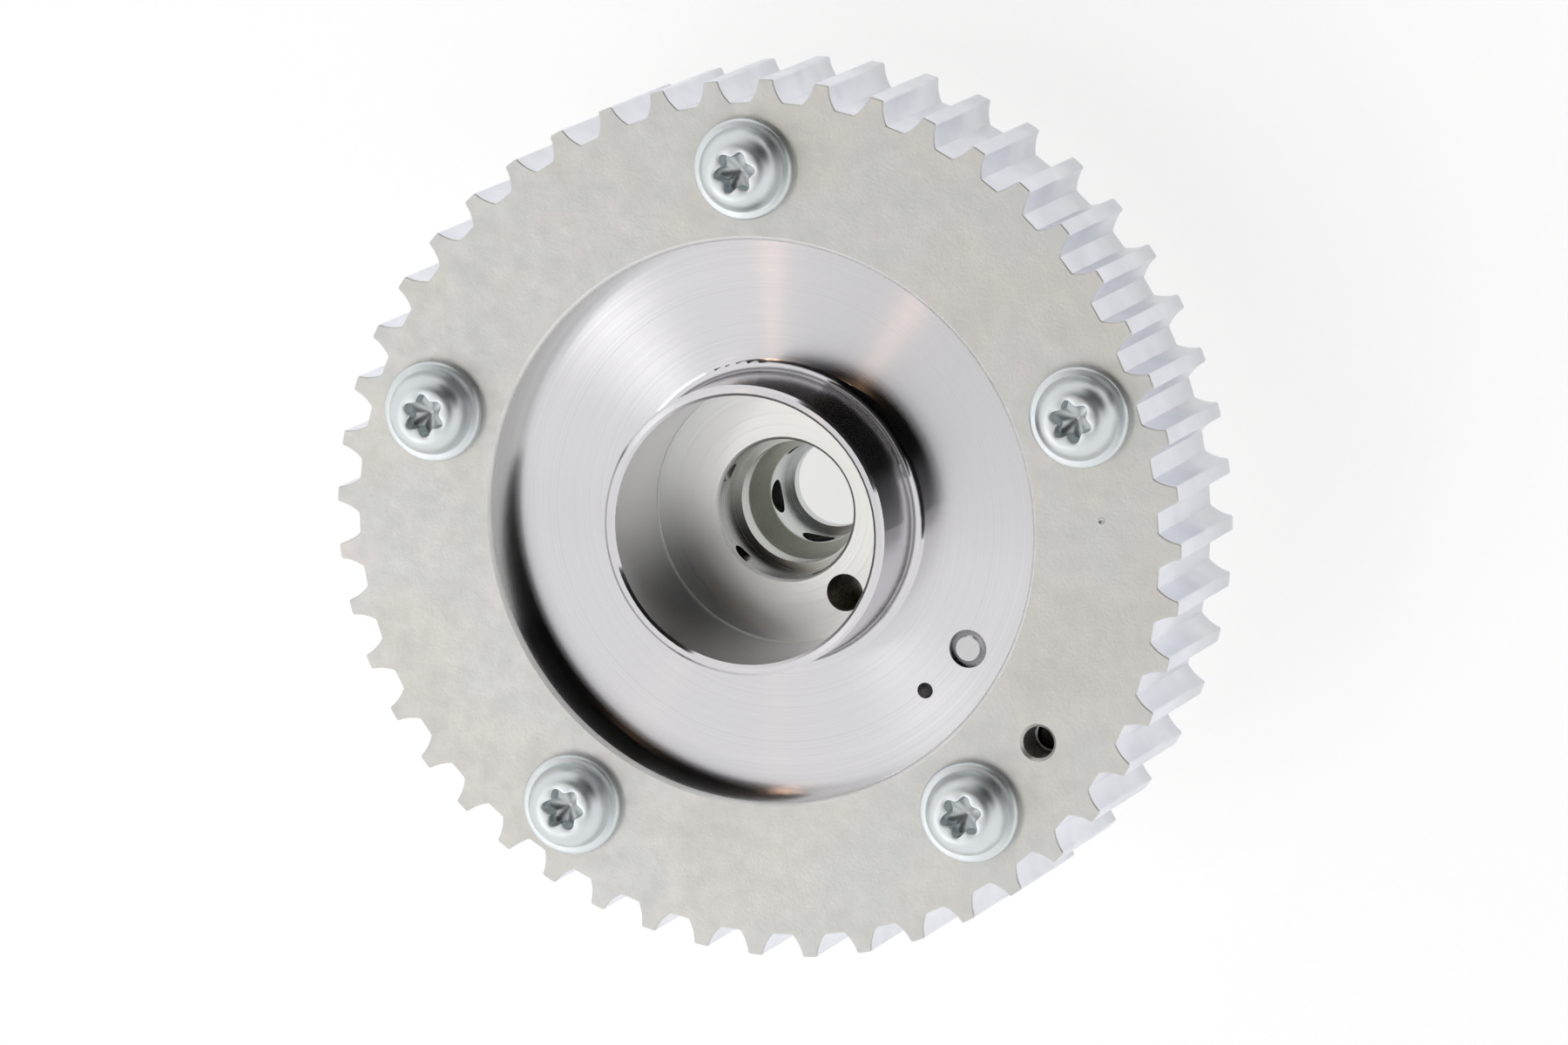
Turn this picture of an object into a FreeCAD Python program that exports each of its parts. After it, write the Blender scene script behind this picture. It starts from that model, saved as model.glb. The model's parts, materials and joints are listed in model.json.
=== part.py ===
import FreeCAD, Part
import math
import os
import Sketcher
from FreeCAD import Placement, Rotation, Vector

# Camshaft timing belt pulley with a vane type phase adjuster inside it.
# Millimetres and degrees. +Z runs along the axis from the front of the engine to the camshaft.
# The origin is the centre of the front collar's end, on which the part stands.

SIZES = {
    # Build-up along the axis, from the front collar's end to the seal journal's rim
    "collar_length": 9.0,
    "plate_thickness": 7.9,
    "stator_thickness": 16.0,
    "cover_thickness": 4.7,
    "flange_thickness": 6.4,
    "journal_height": 7.0,
    # Clearances
    "running_gap": 0.05,
    "end_gap": 0.04,
    "seat_gap": 0.02,
    "stop_gap_angle": 0.15,
    # Belt teeth round a three lobed outline
    "belt_width": 24.8,
    "tooth_count": 48,
    "tip_radius": 60.45,
    "tooth_depth": 3.14,
    "tooth_tip_width": 2.2,
    "tooth_root_width": 4.75,
    "tooth_flank_radius": 6.0,
    "tooth_tip_round": 0.35,
    "tooth_turn": 4.35,
    "lobe_rise": 0.78,
    "lobe_turn": 67.7,
    # Pulley body
    "opening_edge_distance": 9.87,
    "opening_chamfer": 0.35,
    "pulley_wall": 3.81,
    "bore_lead": 0.8,
    "fixture_hole_radius": 2.2,
    "fixture_hole_chamfer": 0.4,
    "fixture_hole_turn": -37.73,
    "punch_mark_radius": 0.5,
    "punch_mark_depth": 0.3,
    "punch_mark_turn": 1.0,
    # Clamp screws
    "screw_count": 5,
    "screw_edge_distance": 4.86,
    "screw_radius": 3.0,
    "screw_hole_radius": 3.3,
    "screw_length": 35.0,
    "screw_end_chamfer": 0.7,
    "washer_radius": 7.0,
    "washer_thickness": 1.5,
    "washer_round": 0.5,
    "head_radius": 5.8,
    "head_height": 4.7,
    "head_crown_radius": 3.9,
    "head_dome_radius": 3.4,
    "recess_radius": 2.9,
    "recess_waist_radius": 2.08,
    "recess_lobe_radius": 0.62,
    "recess_waist_curve": 1.0,
    "recess_depth": 2.8,
    # Rear cover with the seal journal
    "journal_radius": 20.0,
    "journal_bore_radius": 18.5,
    "journal_fillet": 1.6,
    "journal_chamfer": 0.4,
    "seal_groove_land": 3.23,
    "seal_groove_width": 2.3,
    "seal_groove_depth": 1.7,
    "gauge_hole_radius": 1.1,
    "gauge_hole_drop": 0.85,
    "gauge_hole_turn": -49.3,
    # Lock pin, its seat in the rear cover and its spring
    "lock_rise": 2.5,
    "lock_turn": -33.9,
    "seat_head_radius": 5.2,
    "seat_head_thickness": 3.0,
    "seat_pocket_radius": 3.2,
    "seat_pocket_depth": 2.2,
    "seat_spigot_radius": 2.62,
    "seat_spigot_chamfer": 0.93,
    "pin_body_radius": 4.5,
    "pin_body_length": 10.0,
    "pin_nose_radius": 2.95,
    "pin_nose_length": 2.3,
    "pin_nose_chamfer": 0.4,
    "pin_release_gap": 0.1,
    "pin_spring_bore_radius": 3.3,
    "pin_crown": 2.5,
    "lock_cap_thickness": 1.5,
    "lock_cap_nub_radius": 2.0,
    "lock_cap_nub_height": 1.4,
    "lock_cap_vent_radius": 0.8,
    "lock_spring_radius": 2.65,
    "lock_wire_radius": 0.35,
    "lock_spring_pitch": 1.5,
    # Locating dowel
    "dowel_radius": 2.0,
    "dowel_length": 9.6,
    "dowel_chamfer": 0.4,
    "dowel_sink": 0.5,
    # Stator lobes and rotor vanes
    "chamber_wall": 3.64,
    "vane_height": 15.0,
    "lobe_half_angle": 9.0,
    "travel_angle": 22.0,
    "vane_half_angle": 7.0,
    "boss_radius": 15.0,
    "boss_gap": 0.5,
    "nose_radius": 12.5,
    "nose_length": 3.9,
    "head_bore_radius": 10.7,
    "bolt_seat_depth": 24.2,
    "bolt_hole_radius": 6.0,
    "bolt_hole_length": 1.94,
    "bolt_bore_radius": 7.0,
    "throat_radius": 8.55,
    "throat_depth": 3.0,
    "throat_taper": 5.0,
    "cam_seat_radius": 18.4,
    "cam_seat_depth": 0.1,
    "oil_well_radius": 9.7,
    "oil_well_depth": 6.8,
    "oil_well_chamfer": 0.4,
    "cam_dowel_radius": 2.6,
    "cam_dowel_depth": 7.0,
    "cam_dowel_circle_radius": 14.0,
    "cam_dowel_turn": -54.78,
    "rear_port_radius": 1.5,
    "rear_port_depth": 2.2,
    "rear_port_direction": 186.4,
    "rear_port_offset": 6.04,
    "rear_port_start": 7.0,
    "release_groove_width": 2.0,
    "release_groove_depth": 1.2,
    "release_groove_length": 8.0,
    "release_groove_inset": 2.9,
    "cross_port_radius": 2.3,
    "cross_port_turn": 44.8,
    "cross_port_drop": 1.34,
    "gallery_outer_radius": 22.0,
    "gallery_depth": 5.2,
    "front_port_width": 2.6,
    "front_port_depth": 1.5,
    "front_port_turn": 4.5,
    # Vane tip seals and their leaf springs
    "seal_slot_width": 2.4,
    "seal_slot_depth": 3.6,
    "seal_side_gap": 0.04,
    "leaf_radius": 24.4,
    "leaf_length": 12.0,
    "leaf_thickness": 0.25,
    "leaf_width": 1.8,
    # Front plate, spiral return spring and its post
    "plate_wall": 3.0,
    "plate_edge_chamfer": 0.8,
    "rim_wall": 4.5,
    "rim_height": 4.6,
    "spiral_half_turns": 8,
    "spiral_pitch": 2.4,
    "spiral_thickness": 1.0,
    "spiral_width": 4.0,
    "spiral_hub_gap": 0.6,
    "spiral_bend_radius": 1.2,
    "spiral_tail_length": 2.2,
    "spiral_slot_gap": 0.15,
    "hook_angle": 215.0,
    "hook_gap": 0.1,
    "hook_wall_gap": 1.6,
    "post_radius": 2.0,
    "post_sink": 2.2,
    "post_chamfer": 0.4,
    "post_end_gap": 0.3,
    # Front cover with the plug thread, its seal and its snap ring
    "front_cover_land": 4.0,
    "front_cover_thickness": 2.0,
    "collar_radius": 20.0,
    "collar_chamfer": 0.6,
    "plug_thread_radius": 14.2,
    "plug_thread_length": 5.0,
    "plug_mouth_chamfer": 0.8,
    "collar_relief_radius": 15.6,
    "front_seal_land": 2.0,
    "ring_thickness": 1.4,
    "ring_bite": 1.4,
    "ring_overlap": 2.0,
    "ring_opening_angle": 14.0,
    # Rubber rings
    "seal_cord_radius": 0.84,
}

# Radii that follow from the sizes: from the tooth tips inwards, then from the spiral outwards
FOLLOWING = {
    "cartridge_radius": "=tip_radius - tooth_depth - pulley_wall",
    "screw_circle_radius": "=cartridge_radius - screw_edge_distance",
    "opening_radius": "=screw_circle_radius - opening_edge_distance",
    "seal_groove_radius": "=opening_radius + seal_groove_land",
    "chamber_radius": "=screw_circle_radius - chamber_wall",
    "hub_radius": "=chamber_radius - vane_height",
    "lock_circle_radius": "=hub_radius + lock_rise",
    "gauge_hole_circle_radius": "=lock_circle_radius - gauge_hole_drop",
    "spiral_start_radius": "=boss_radius + spiral_hub_gap + spiral_thickness / 2",
    "spiral_end_radius": "=spiral_start_radius + spiral_half_turns * spiral_pitch / 2",
    "hook_radius": "=post_radius + hook_gap + spiral_thickness / 2",
    "post_circle_radius": "=spiral_end_radius + hook_radius",
    "pocket_radius": "=post_circle_radius + hook_radius + spiral_thickness / 2 + hook_wall_gap",
    "front_seal_radius": "=pocket_radius + front_seal_land",
    "front_cover_radius": "=pocket_radius + front_cover_land",
    "rim_radius": "=front_cover_radius + rim_wall",
}

# Heights above the collar's end, as expressions of the sizes
PLATE_FRONT = "sizes.collar_length"
STATOR_FRONT = f"({PLATE_FRONT} + sizes.plate_thickness)"
STATOR_REAR = f"({STATOR_FRONT} + sizes.stator_thickness)"
COVER_REAR = f"({STATOR_REAR} + sizes.cover_thickness)"
REAR_FACE = f"({COVER_REAR} + sizes.flange_thickness)"
JOURNAL_RIM = f"({REAR_FACE} + sizes.journal_height)"
BELT_FRONT = f"({REAR_FACE} - sizes.belt_width)"
ROTOR_FRONT = f"({STATOR_FRONT} + sizes.end_gap)"
ROTOR_REAR = f"({STATOR_REAR} - sizes.end_gap)"
ROTOR_LENGTH = "(sizes.stator_thickness - 2 * sizes.end_gap)"
CAM_SEAT = f"({ROTOR_REAR} - sizes.cam_seat_depth)"
POCKET_TOP = f"({STATOR_FRONT} - sizes.plate_wall)"
BOLT_SEAT = f"({ROTOR_REAR} - sizes.bolt_seat_depth)"
BOSS_FRONT = f"({PLATE_FRONT} + sizes.boss_gap)"
NOSE_FRONT = f"({BOSS_FRONT} - sizes.nose_length)"
PULLEY_BORE = "(sizes.cartridge_radius + sizes.running_gap)"
VANE_TIP = "(sizes.chamber_radius - sizes.running_gap)"
LOBE_PITCH = "(360 / sizes.screw_count)"
# The third lobe below the top one carries the stop that the lock vane rests on
STOP_TURN = f"(90 - 2 * {LOBE_PITCH} + sizes.lobe_half_angle + sizes.stop_gap_angle)"
LOCK_VANE_HALF = (f"(({LOBE_PITCH} - 2 * sizes.lobe_half_angle - sizes.travel_angle)"
                  " / 2 - sizes.stop_gap_angle)")
LOCK_VANE_TURN = f"({STOP_TURN} + {LOCK_VANE_HALF})"
PIN_TOP = f"({STATOR_REAR} - sizes.pin_release_gap)"
PIN_SHOULDER = f"({PIN_TOP} - sizes.pin_nose_length)"
PIN_BOTTOM = f"({PIN_SHOULDER} - sizes.pin_body_length)"
LOCK_CAP_TOP = f"({ROTOR_FRONT} + sizes.lock_cap_thickness)"
SPRING_CEILING = f"({PIN_SHOULDER} - sizes.pin_crown)"
SEAL_SLOT_FLOOR = f"({VANE_TIP} - sizes.seal_slot_depth)"
SPIRAL_FRONT = f"(({PLATE_FRONT} + {POCKET_TOP} - sizes.spiral_width) / 2)"
RING_REAR = f"({PLATE_FRONT} - sizes.front_cover_thickness)"
RING_OUTER = "(sizes.front_cover_radius + sizes.ring_bite)"

doc = FreeCAD.newDocument("camshaft_pulley")
sheet = doc.addObject("Spreadsheet::Sheet", "sizes")


def fill_sheet():
    for row, (alias, content) in enumerate([*SIZES.items(), *FOLLOWING.items()], start=1):
        sheet.set(f"A{row}", alias)
        sheet.set(f"B{row}", str(content))
        sheet.setAlias(f"B{row}", alias)
    doc.recompute()


def value(expression):
    return float(sheet.evalExpression(expression))


def polar(radius, turn):
    """The two coordinates of a point, as expressions."""
    return f"({radius}) * cos({turn})", f"({radius}) * sin({turn})"


def new_body(label):
    body = doc.addObject("PartDesign::Body", label)
    body.Label = label
    return body


def origin_feature(body, role):
    return [item for item in body.Origin.OriginFeatures if item.Role == role][0]


def new_sketch(body, name, role="XY_Plane", level=None, turn=None, turn_axis=Vector(0, 0, 1)):
    """A sketch on one of the body's own planes, shifted along its normal and turned by expressions."""
    sketch = body.newObject("Sketcher::SketchObject", name)
    sketch.AttachmentSupport = (origin_feature(body, role), [""])
    sketch.MapMode = "FlatFace"
    if turn is not None:
        sketch.AttachmentOffset = Placement(Vector(), Rotation(turn_axis, value(turn)))
        sketch.setExpression("AttachmentOffset.Rotation.Angle", turn)
    if level is not None:
        sketch.setExpression("AttachmentOffset.Base.z", level)
    return sketch


def pin_point(sketch, geometry, end, x, y):
    """Holds one end of a sketch element at two expressions."""
    for kind, expression in (("DistanceX", x), ("DistanceY", y)):
        index = sketch.addConstraint(
            Sketcher.Constraint(kind, -1, 1, geometry, end, value(expression)))
        sketch.setExpression(f"Constraints[{index}]", expression)


def arc_between(start, end, radius):
    """The short arc of a signed radius: positive bulges to the right of the run."""
    chord = end - start
    height = math.sqrt(max(radius * radius - chord.Length ** 2 / 4, 0))
    left = Vector(-chord.y, chord.x, 0).normalize()
    side = 1 if radius > 0 else -1
    centre = (start + end) * 0.5 + left * (side * height)
    middle = centre - left * radius
    return Part.Arc(start, middle, end)


def draw_outline(sketch, corners):
    """A closed outline. A corner's third entry is the signed radius of the arc that leaves it."""
    points = [Vector(value(corner[0]), value(corner[1]), 0) for corner in corners]
    count = len(points)
    ends = []
    for index, corner in enumerate(corners):
        start = points[index]
        end = points[(index + 1) % count]
        if len(corner) == 2:
            sketch.addGeometry(Part.LineSegment(start, end), False)
            ends.append((1, 2))
            continue
        # The sketcher wants every arc drawn anticlockwise
        radius = value(corner[2])
        if radius > 0:
            sketch.addGeometry(arc_between(start, end, radius), False)
            ends.append((1, 2))
        else:
            sketch.addGeometry(arc_between(end, start, -radius), False)
            ends.append((2, 1))
    for index in range(count):
        after = (index + 1) % count
        sketch.addConstraint(
            Sketcher.Constraint("Coincident", index, ends[index][1], after, ends[after][0]))
    for index, corner in enumerate(corners):
        pin_point(sketch, index, ends[index][0], corner[0], corner[1])
        if len(corner) == 3:
            row = sketch.addConstraint(
                Sketcher.Constraint("Radius", index, abs(value(corner[2]))))
            sketch.setExpression(f"Constraints[{row}]", f"abs({corner[2]})")


def draw_circle(sketch, x, y, radius):
    circle = Part.Circle(Vector(value(x), value(y), 0), Vector(0, 0, 1), value(radius))
    index = sketch.addGeometry(circle, False)
    pin_point(sketch, index, 3, x, y)
    row = sketch.addConstraint(Sketcher.Constraint("Radius", index, value(radius)))
    sketch.setExpression(f"Constraints[{row}]", radius)


def revolve(body, name, corners, kind="PartDesign::Revolution"):
    """Turns an outline of (radius, height) corners about the body's axis."""
    sketch = new_sketch(body, f"{name}_profile", "XZ_Plane")
    draw_outline(sketch, corners)
    feature = body.newObject(kind, name)
    feature.Profile = sketch
    feature.ReferenceAxis = (sketch, ["V_Axis"])
    feature.Angle = 360
    return feature


def pad(body, sketch, name, length):
    feature = body.newObject("PartDesign::Pad", name)
    feature.Profile = sketch
    feature.setExpression("Length", length)
    return feature


def pocket(body, sketch, name, depth, along_normal=False):
    """Cuts against the sketch's normal, or along it when asked."""
    feature = body.newObject("PartDesign::Pocket", name)
    feature.Profile = sketch
    feature.setExpression("Length", depth)
    feature.Reversed = along_normal
    return feature


def hole(body, name, place, level, radius, depth, along_normal=False):
    sketch = new_sketch(body, f"{name}_circle", level=level)
    draw_circle(sketch, place[0], place[1], radius)
    return pocket(body, sketch, name, depth, along_normal)


def ring_pattern(body, name, features, count="sizes.screw_count"):
    pattern = body.newObject("PartDesign::PolarPattern", name)
    pattern.Originals = features
    pattern.Axis = (origin_feature(body, "Z_Axis"), [""])
    pattern.Angle = 360
    pattern.setExpression("Occurrences", count)
    body.Tip = pattern
    return pattern


def screw_holes(body, level, radius, depth):
    """The clamp screws' holes, the first one on +Y."""
    first = hole(body, "screw_hole", ("0", "sizes.screw_circle_radius"), level, radius, depth)
    return ring_pattern(body, "screw_hole_ring", [first])


# Toothed outline

def lobed_point(turn, depth):
    """A point on the three lobed curve that lies a depth below the tooth tips, and its normal."""
    rise = value("sizes.lobe_rise")
    phase = 3 * (turn - math.radians(value("sizes.lobe_turn")))
    radius = value("sizes.tip_radius") - depth + rise * math.cos(phase)
    slope = -3 * rise * math.sin(phase)
    outward = Vector(math.cos(turn), math.sin(turn), 0)
    sideways = Vector(-math.sin(turn), math.cos(turn), 0)
    normal = (outward * radius - sideways * slope).normalize()
    return outward * radius, normal


def tooth_turn(index):
    """The direction of a tooth, with equal steps along the lobed pitch line."""
    even = math.radians(value("sizes.tooth_turn") + 360 * index / value("sizes.tooth_count"))
    swing = value("sizes.lobe_rise") / (3 * value("sizes.tip_radius"))
    return even - swing * math.sin(3 * (even - math.radians(value("sizes.lobe_turn"))))


def tooth_points(turn):
    """The corners of one tooth, from its clockwise root to its anticlockwise root."""
    depth = value("sizes.tooth_depth")
    half_tip = value("sizes.tooth_tip_width") / 2
    half_root = value("sizes.tooth_root_width") / 2
    rounding = value("sizes.tooth_tip_round")
    bend = rounding * (1 - math.sqrt(0.5))
    root, normal = lobed_point(turn, depth)
    across = Vector(-normal.y, normal.x, 0)
    half = [(half_root, 0), (half_tip, depth - rounding),
            (half_tip - bend, depth - bend), (half_tip - rounding, depth)]
    places = [(-x, y) for x, y in half] + [(x, y) for x, y in reversed(half)]
    return [root + across * x + normal * y for x, y in places]


def tooth_edges(points, next_root, turn, next_turn):
    """Flank, tip round, land, tip round and flank of one tooth, and the root to the next tooth."""
    flank = value("sizes.tooth_flank_radius")
    middle = lobed_point((turn + next_turn) / 2, value("sizes.tooth_depth"))[0]
    rising = arc_between(points[0], points[1], flank)
    falling = arc_between(points[6], points[7], flank)
    curves = [
        rising,
        Part.Arc(points[1], points[2], points[3]),
        Part.LineSegment(points[3], points[4]),
        Part.Arc(points[4], points[5], points[6]),
        falling,
        Part.Arc(points[7], middle, next_root),
    ]
    return [curve.toShape() for curve in curves]


def make_tooth_outline():
    count = int(value("sizes.tooth_count"))
    turns = [tooth_turn(index) for index in range(count)]
    turns.append(turns[0] + 2 * math.pi)
    teeth = [tooth_points(turn) for turn in turns]
    edges = []
    for index in range(count):
        next_root = teeth[(index + 1) % count][0]
        edges += tooth_edges(teeth[index], next_root, turns[index], turns[index + 1])
    outline = doc.addObject("Part::Feature", "tooth_outline")
    outline.Shape = Part.Face(Part.Wire(Part.__sortEdges__(edges)))
    outline.Placement = Placement(Vector(0, 0, value(BELT_FRONT)), Rotation())
    return outline


def make_toothed_pulley():
    blank = doc.addObject("Part::Extrusion", "toothed_blank")
    blank.Base = make_tooth_outline()
    blank.DirMode = "Custom"
    blank.Dir = Vector(0, 0, 1)
    blank.setExpression("LengthFwd", "sizes.belt_width")
    doc.recompute()
    body = new_body("toothed_pulley")
    body.BaseFeature = blank
    wide_lead = f"{PULLEY_BORE} + sizes.bore_lead"
    wide_opening = "sizes.opening_radius + sizes.opening_chamfer"
    revolve(body, "bore", [
        ("0", BELT_FRONT),
        (wide_lead, BELT_FRONT),
        (PULLEY_BORE, f"{BELT_FRONT} + sizes.bore_lead"),
        (PULLEY_BORE, COVER_REAR),
        ("sizes.opening_radius", COVER_REAR),
        ("sizes.opening_radius", f"{REAR_FACE} - sizes.opening_chamfer"),
        (wide_opening, REAR_FACE),
        ("0", REAR_FACE),
    ], "PartDesign::Groove")
    screw_holes(body, REAR_FACE, "sizes.screw_hole_radius", "sizes.flange_thickness")
    place = polar("sizes.screw_circle_radius", "sizes.fixture_hole_turn")
    hole(body, "fixture_hole", place, REAR_FACE, "sizes.fixture_hole_radius",
         "sizes.flange_thickness")
    place = polar("sizes.screw_circle_radius", "sizes.punch_mark_turn")
    mark = hole(body, "punch_mark", place, REAR_FACE, "sizes.punch_mark_radius",
                "sizes.punch_mark_depth")
    doc.recompute()
    chamfer = body.newObject("PartDesign::Chamfer", "fixture_hole_edge")
    chamfer.Base = (mark, circle_edges(mark, "sizes.fixture_hole_radius", REAR_FACE))
    chamfer.setExpression("Size", "sizes.fixture_hole_chamfer")
    return body


def circle_edges(feature, radius, level):
    """Names of the round edges of one radius at one height."""
    names = []
    for index, edge in enumerate(feature.Shape.Edges, start=1):
        if not isinstance(edge.Curve, Part.Circle):
            continue
        same_radius = abs(edge.Curve.Radius - value(radius)) < 1e-6
        same_level = abs(edge.Curve.Center.z - value(level)) < 1e-6
        if same_radius and same_level:
            names.append(f"Edge{index}")
    return names


# Rear cover, lock seat and dowel

def make_rear_cover():
    body = new_body("rear_cover")
    groove_outer = "sizes.seal_groove_radius + sizes.seal_groove_width / 2"
    groove_inner = "sizes.seal_groove_radius - sizes.seal_groove_width / 2"
    groove_floor = f"{COVER_REAR} - sizes.seal_groove_depth"
    chamfered_bore = "sizes.journal_bore_radius + sizes.journal_chamfer"
    revolve(body, "turned", [
        (chamfered_bore, STATOR_REAR),
        ("sizes.cartridge_radius", STATOR_REAR),
        ("sizes.cartridge_radius", COVER_REAR),
        (groove_outer, COVER_REAR),
        (groove_outer, groove_floor),
        (groove_inner, groove_floor),
        (groove_inner, COVER_REAR),
        ("sizes.journal_radius + sizes.journal_fillet", COVER_REAR, "-sizes.journal_fillet"),
        ("sizes.journal_radius", f"{COVER_REAR} + sizes.journal_fillet"),
        ("sizes.journal_radius", f"{JOURNAL_RIM} - sizes.journal_chamfer"),
        ("sizes.journal_radius - sizes.journal_chamfer", JOURNAL_RIM),
        (chamfered_bore, JOURNAL_RIM),
        ("sizes.journal_bore_radius", f"{JOURNAL_RIM} - sizes.journal_chamfer"),
        ("sizes.journal_bore_radius", f"{STATOR_REAR} + sizes.journal_chamfer"),
    ])
    screw_holes(body, COVER_REAR, "sizes.screw_hole_radius", "sizes.cover_thickness")
    dowel_place = polar("sizes.screw_circle_radius", "sizes.fixture_hole_turn")
    hole(body, "dowel_hole", dowel_place, COVER_REAR, "sizes.dowel_radius + sizes.seat_gap",
         "sizes.cover_thickness")
    seat_place = polar("sizes.lock_circle_radius", "sizes.lock_turn")
    hole(body, "seat_hole", seat_place, COVER_REAR, "sizes.seat_spigot_radius + sizes.seat_gap",
         "sizes.cover_thickness")
    hole(body, "seat_counterbore", seat_place, STATOR_REAR,
         "sizes.seat_head_radius + sizes.seat_gap",
         "sizes.seat_head_thickness + sizes.seat_gap", along_normal=True)
    gauge_place = polar("sizes.gauge_hole_circle_radius", "sizes.gauge_hole_turn")
    hole(body, "gauge_hole", gauge_place, COVER_REAR, "sizes.gauge_hole_radius",
         "sizes.cover_thickness")
    return body


def place_body(body, radius, turn):
    x, y = polar(radius, turn)
    body.setExpression("Placement.Base.x", x)
    body.setExpression("Placement.Base.y", y)
    return body


def make_lock_seat():
    body = new_body("lock_seat")
    shoulder = f"{STATOR_REAR} + sizes.seat_head_thickness"
    revolve(body, "turned", [
        ("0", f"{STATOR_REAR} + sizes.seat_pocket_depth"),
        ("sizes.seat_pocket_radius", f"{STATOR_REAR} + sizes.seat_pocket_depth"),
        ("sizes.seat_pocket_radius", f"{STATOR_REAR} + sizes.seat_gap"),
        ("sizes.seat_head_radius", f"{STATOR_REAR} + sizes.seat_gap"),
        ("sizes.seat_head_radius", shoulder),
        ("sizes.seat_spigot_radius", shoulder),
        ("sizes.seat_spigot_radius", f"{COVER_REAR} - sizes.seat_spigot_chamfer"),
        ("sizes.seat_spigot_radius - sizes.seat_spigot_chamfer", COVER_REAR),
        ("0", COVER_REAR),
    ])
    return place_body(body, "sizes.lock_circle_radius", "sizes.lock_turn")


def make_locating_dowel():
    body = new_body("locating_dowel")
    top = f"({COVER_REAR} - sizes.dowel_sink)"
    bottom = f"({top} - sizes.dowel_length)"
    thin = "sizes.dowel_radius - sizes.dowel_chamfer"
    revolve(body, "turned", [
        ("0", bottom),
        (thin, bottom),
        ("sizes.dowel_radius", f"{bottom} + sizes.dowel_chamfer"),
        ("sizes.dowel_radius", f"{top} - sizes.dowel_chamfer"),
        (thin, top),
        ("0", top),
    ])
    return place_body(body, "sizes.screw_circle_radius", "sizes.fixture_hole_turn")


# Stator

def sector(half_angle, inner, outer, middle="90"):
    """A wedge between two radial sides, about a direction."""
    low = f"({middle} - {half_angle})"
    high = f"({middle} + {half_angle})"
    return [polar(inner, low), polar(outer, low), polar(outer, high), polar(inner, high)]


def make_stator():
    body = new_body("stator")
    ring = new_sketch(body, "ring_profile", level=STATOR_FRONT)
    draw_circle(ring, "0", "0", "sizes.cartridge_radius")
    draw_circle(ring, "0", "0", "sizes.chamber_radius")
    pad(body, ring, "ring", "sizes.stator_thickness")
    wall_middle = "((sizes.chamber_radius + sizes.cartridge_radius) / 2)"
    lobe = new_sketch(body, "lobe_profile", level=STATOR_FRONT)
    draw_outline(lobe, sector("sizes.lobe_half_angle", "sizes.hub_radius", wall_middle))
    first = pad(body, lobe, "lobe", "sizes.stator_thickness")
    ring_pattern(body, "lobe_ring", [first])
    hole(body, "hub_bore", ("0", "0"), STATOR_REAR, "sizes.hub_radius + sizes.running_gap",
         "sizes.stator_thickness")
    screw_holes(body, STATOR_REAR, "sizes.screw_hole_radius", "sizes.stator_thickness")
    place = polar("sizes.screw_circle_radius", "sizes.fixture_hole_turn")
    depth = "sizes.dowel_sink + sizes.dowel_length - sizes.cover_thickness + sizes.seat_gap"
    hole(body, "dowel_hole", place, STATOR_REAR, "sizes.dowel_radius + sizes.seat_gap", depth)
    return body


# Rotor with its vanes, ports and bores

def make_rotor():
    body = new_body("rotor")
    well_floor = f"({ROTOR_REAR} - sizes.oil_well_depth)"
    throat_end = f"({well_floor} - sizes.throat_depth)"
    taper_end = f"({throat_end} - sizes.throat_taper)"
    hole_top = f"({BOLT_SEAT} + sizes.bolt_hole_length)"
    gallery_top = f"({ROTOR_FRONT} + sizes.gallery_depth)"
    revolve(body, "hub", [
        ("sizes.oil_well_radius + sizes.oil_well_chamfer", CAM_SEAT),
        ("sizes.oil_well_radius", f"{CAM_SEAT} - sizes.oil_well_chamfer"),
        ("sizes.oil_well_radius", well_floor),
        ("sizes.throat_radius", well_floor),
        ("sizes.throat_radius", throat_end),
        ("sizes.bolt_bore_radius", taper_end),
        ("sizes.bolt_bore_radius", hole_top),
        ("sizes.bolt_hole_radius", hole_top),
        ("sizes.bolt_hole_radius", BOLT_SEAT),
        ("sizes.head_bore_radius", BOLT_SEAT),
        ("sizes.head_bore_radius", NOSE_FRONT),
        ("sizes.nose_radius", NOSE_FRONT),
        ("sizes.nose_radius", BOSS_FRONT),
        ("sizes.boss_radius", BOSS_FRONT),
        ("sizes.boss_radius", gallery_top),
        ("sizes.gallery_outer_radius", gallery_top),
        ("sizes.gallery_outer_radius", ROTOR_FRONT),
        ("sizes.hub_radius", ROTOR_FRONT),
        ("sizes.hub_radius", ROTOR_REAR),
        ("sizes.cam_seat_radius", ROTOR_REAR),
        ("sizes.cam_seat_radius", CAM_SEAT),
    ])
    add_vanes(body)
    cut_ports(body)
    cut_lock_bore(body)
    place = polar("sizes.cam_dowel_circle_radius", "sizes.cam_dowel_turn")
    hole(body, "cam_dowel_hole", place, CAM_SEAT, "sizes.cam_dowel_radius",
         "sizes.cam_dowel_depth")
    cut_spring_slot(body)
    return body


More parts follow.
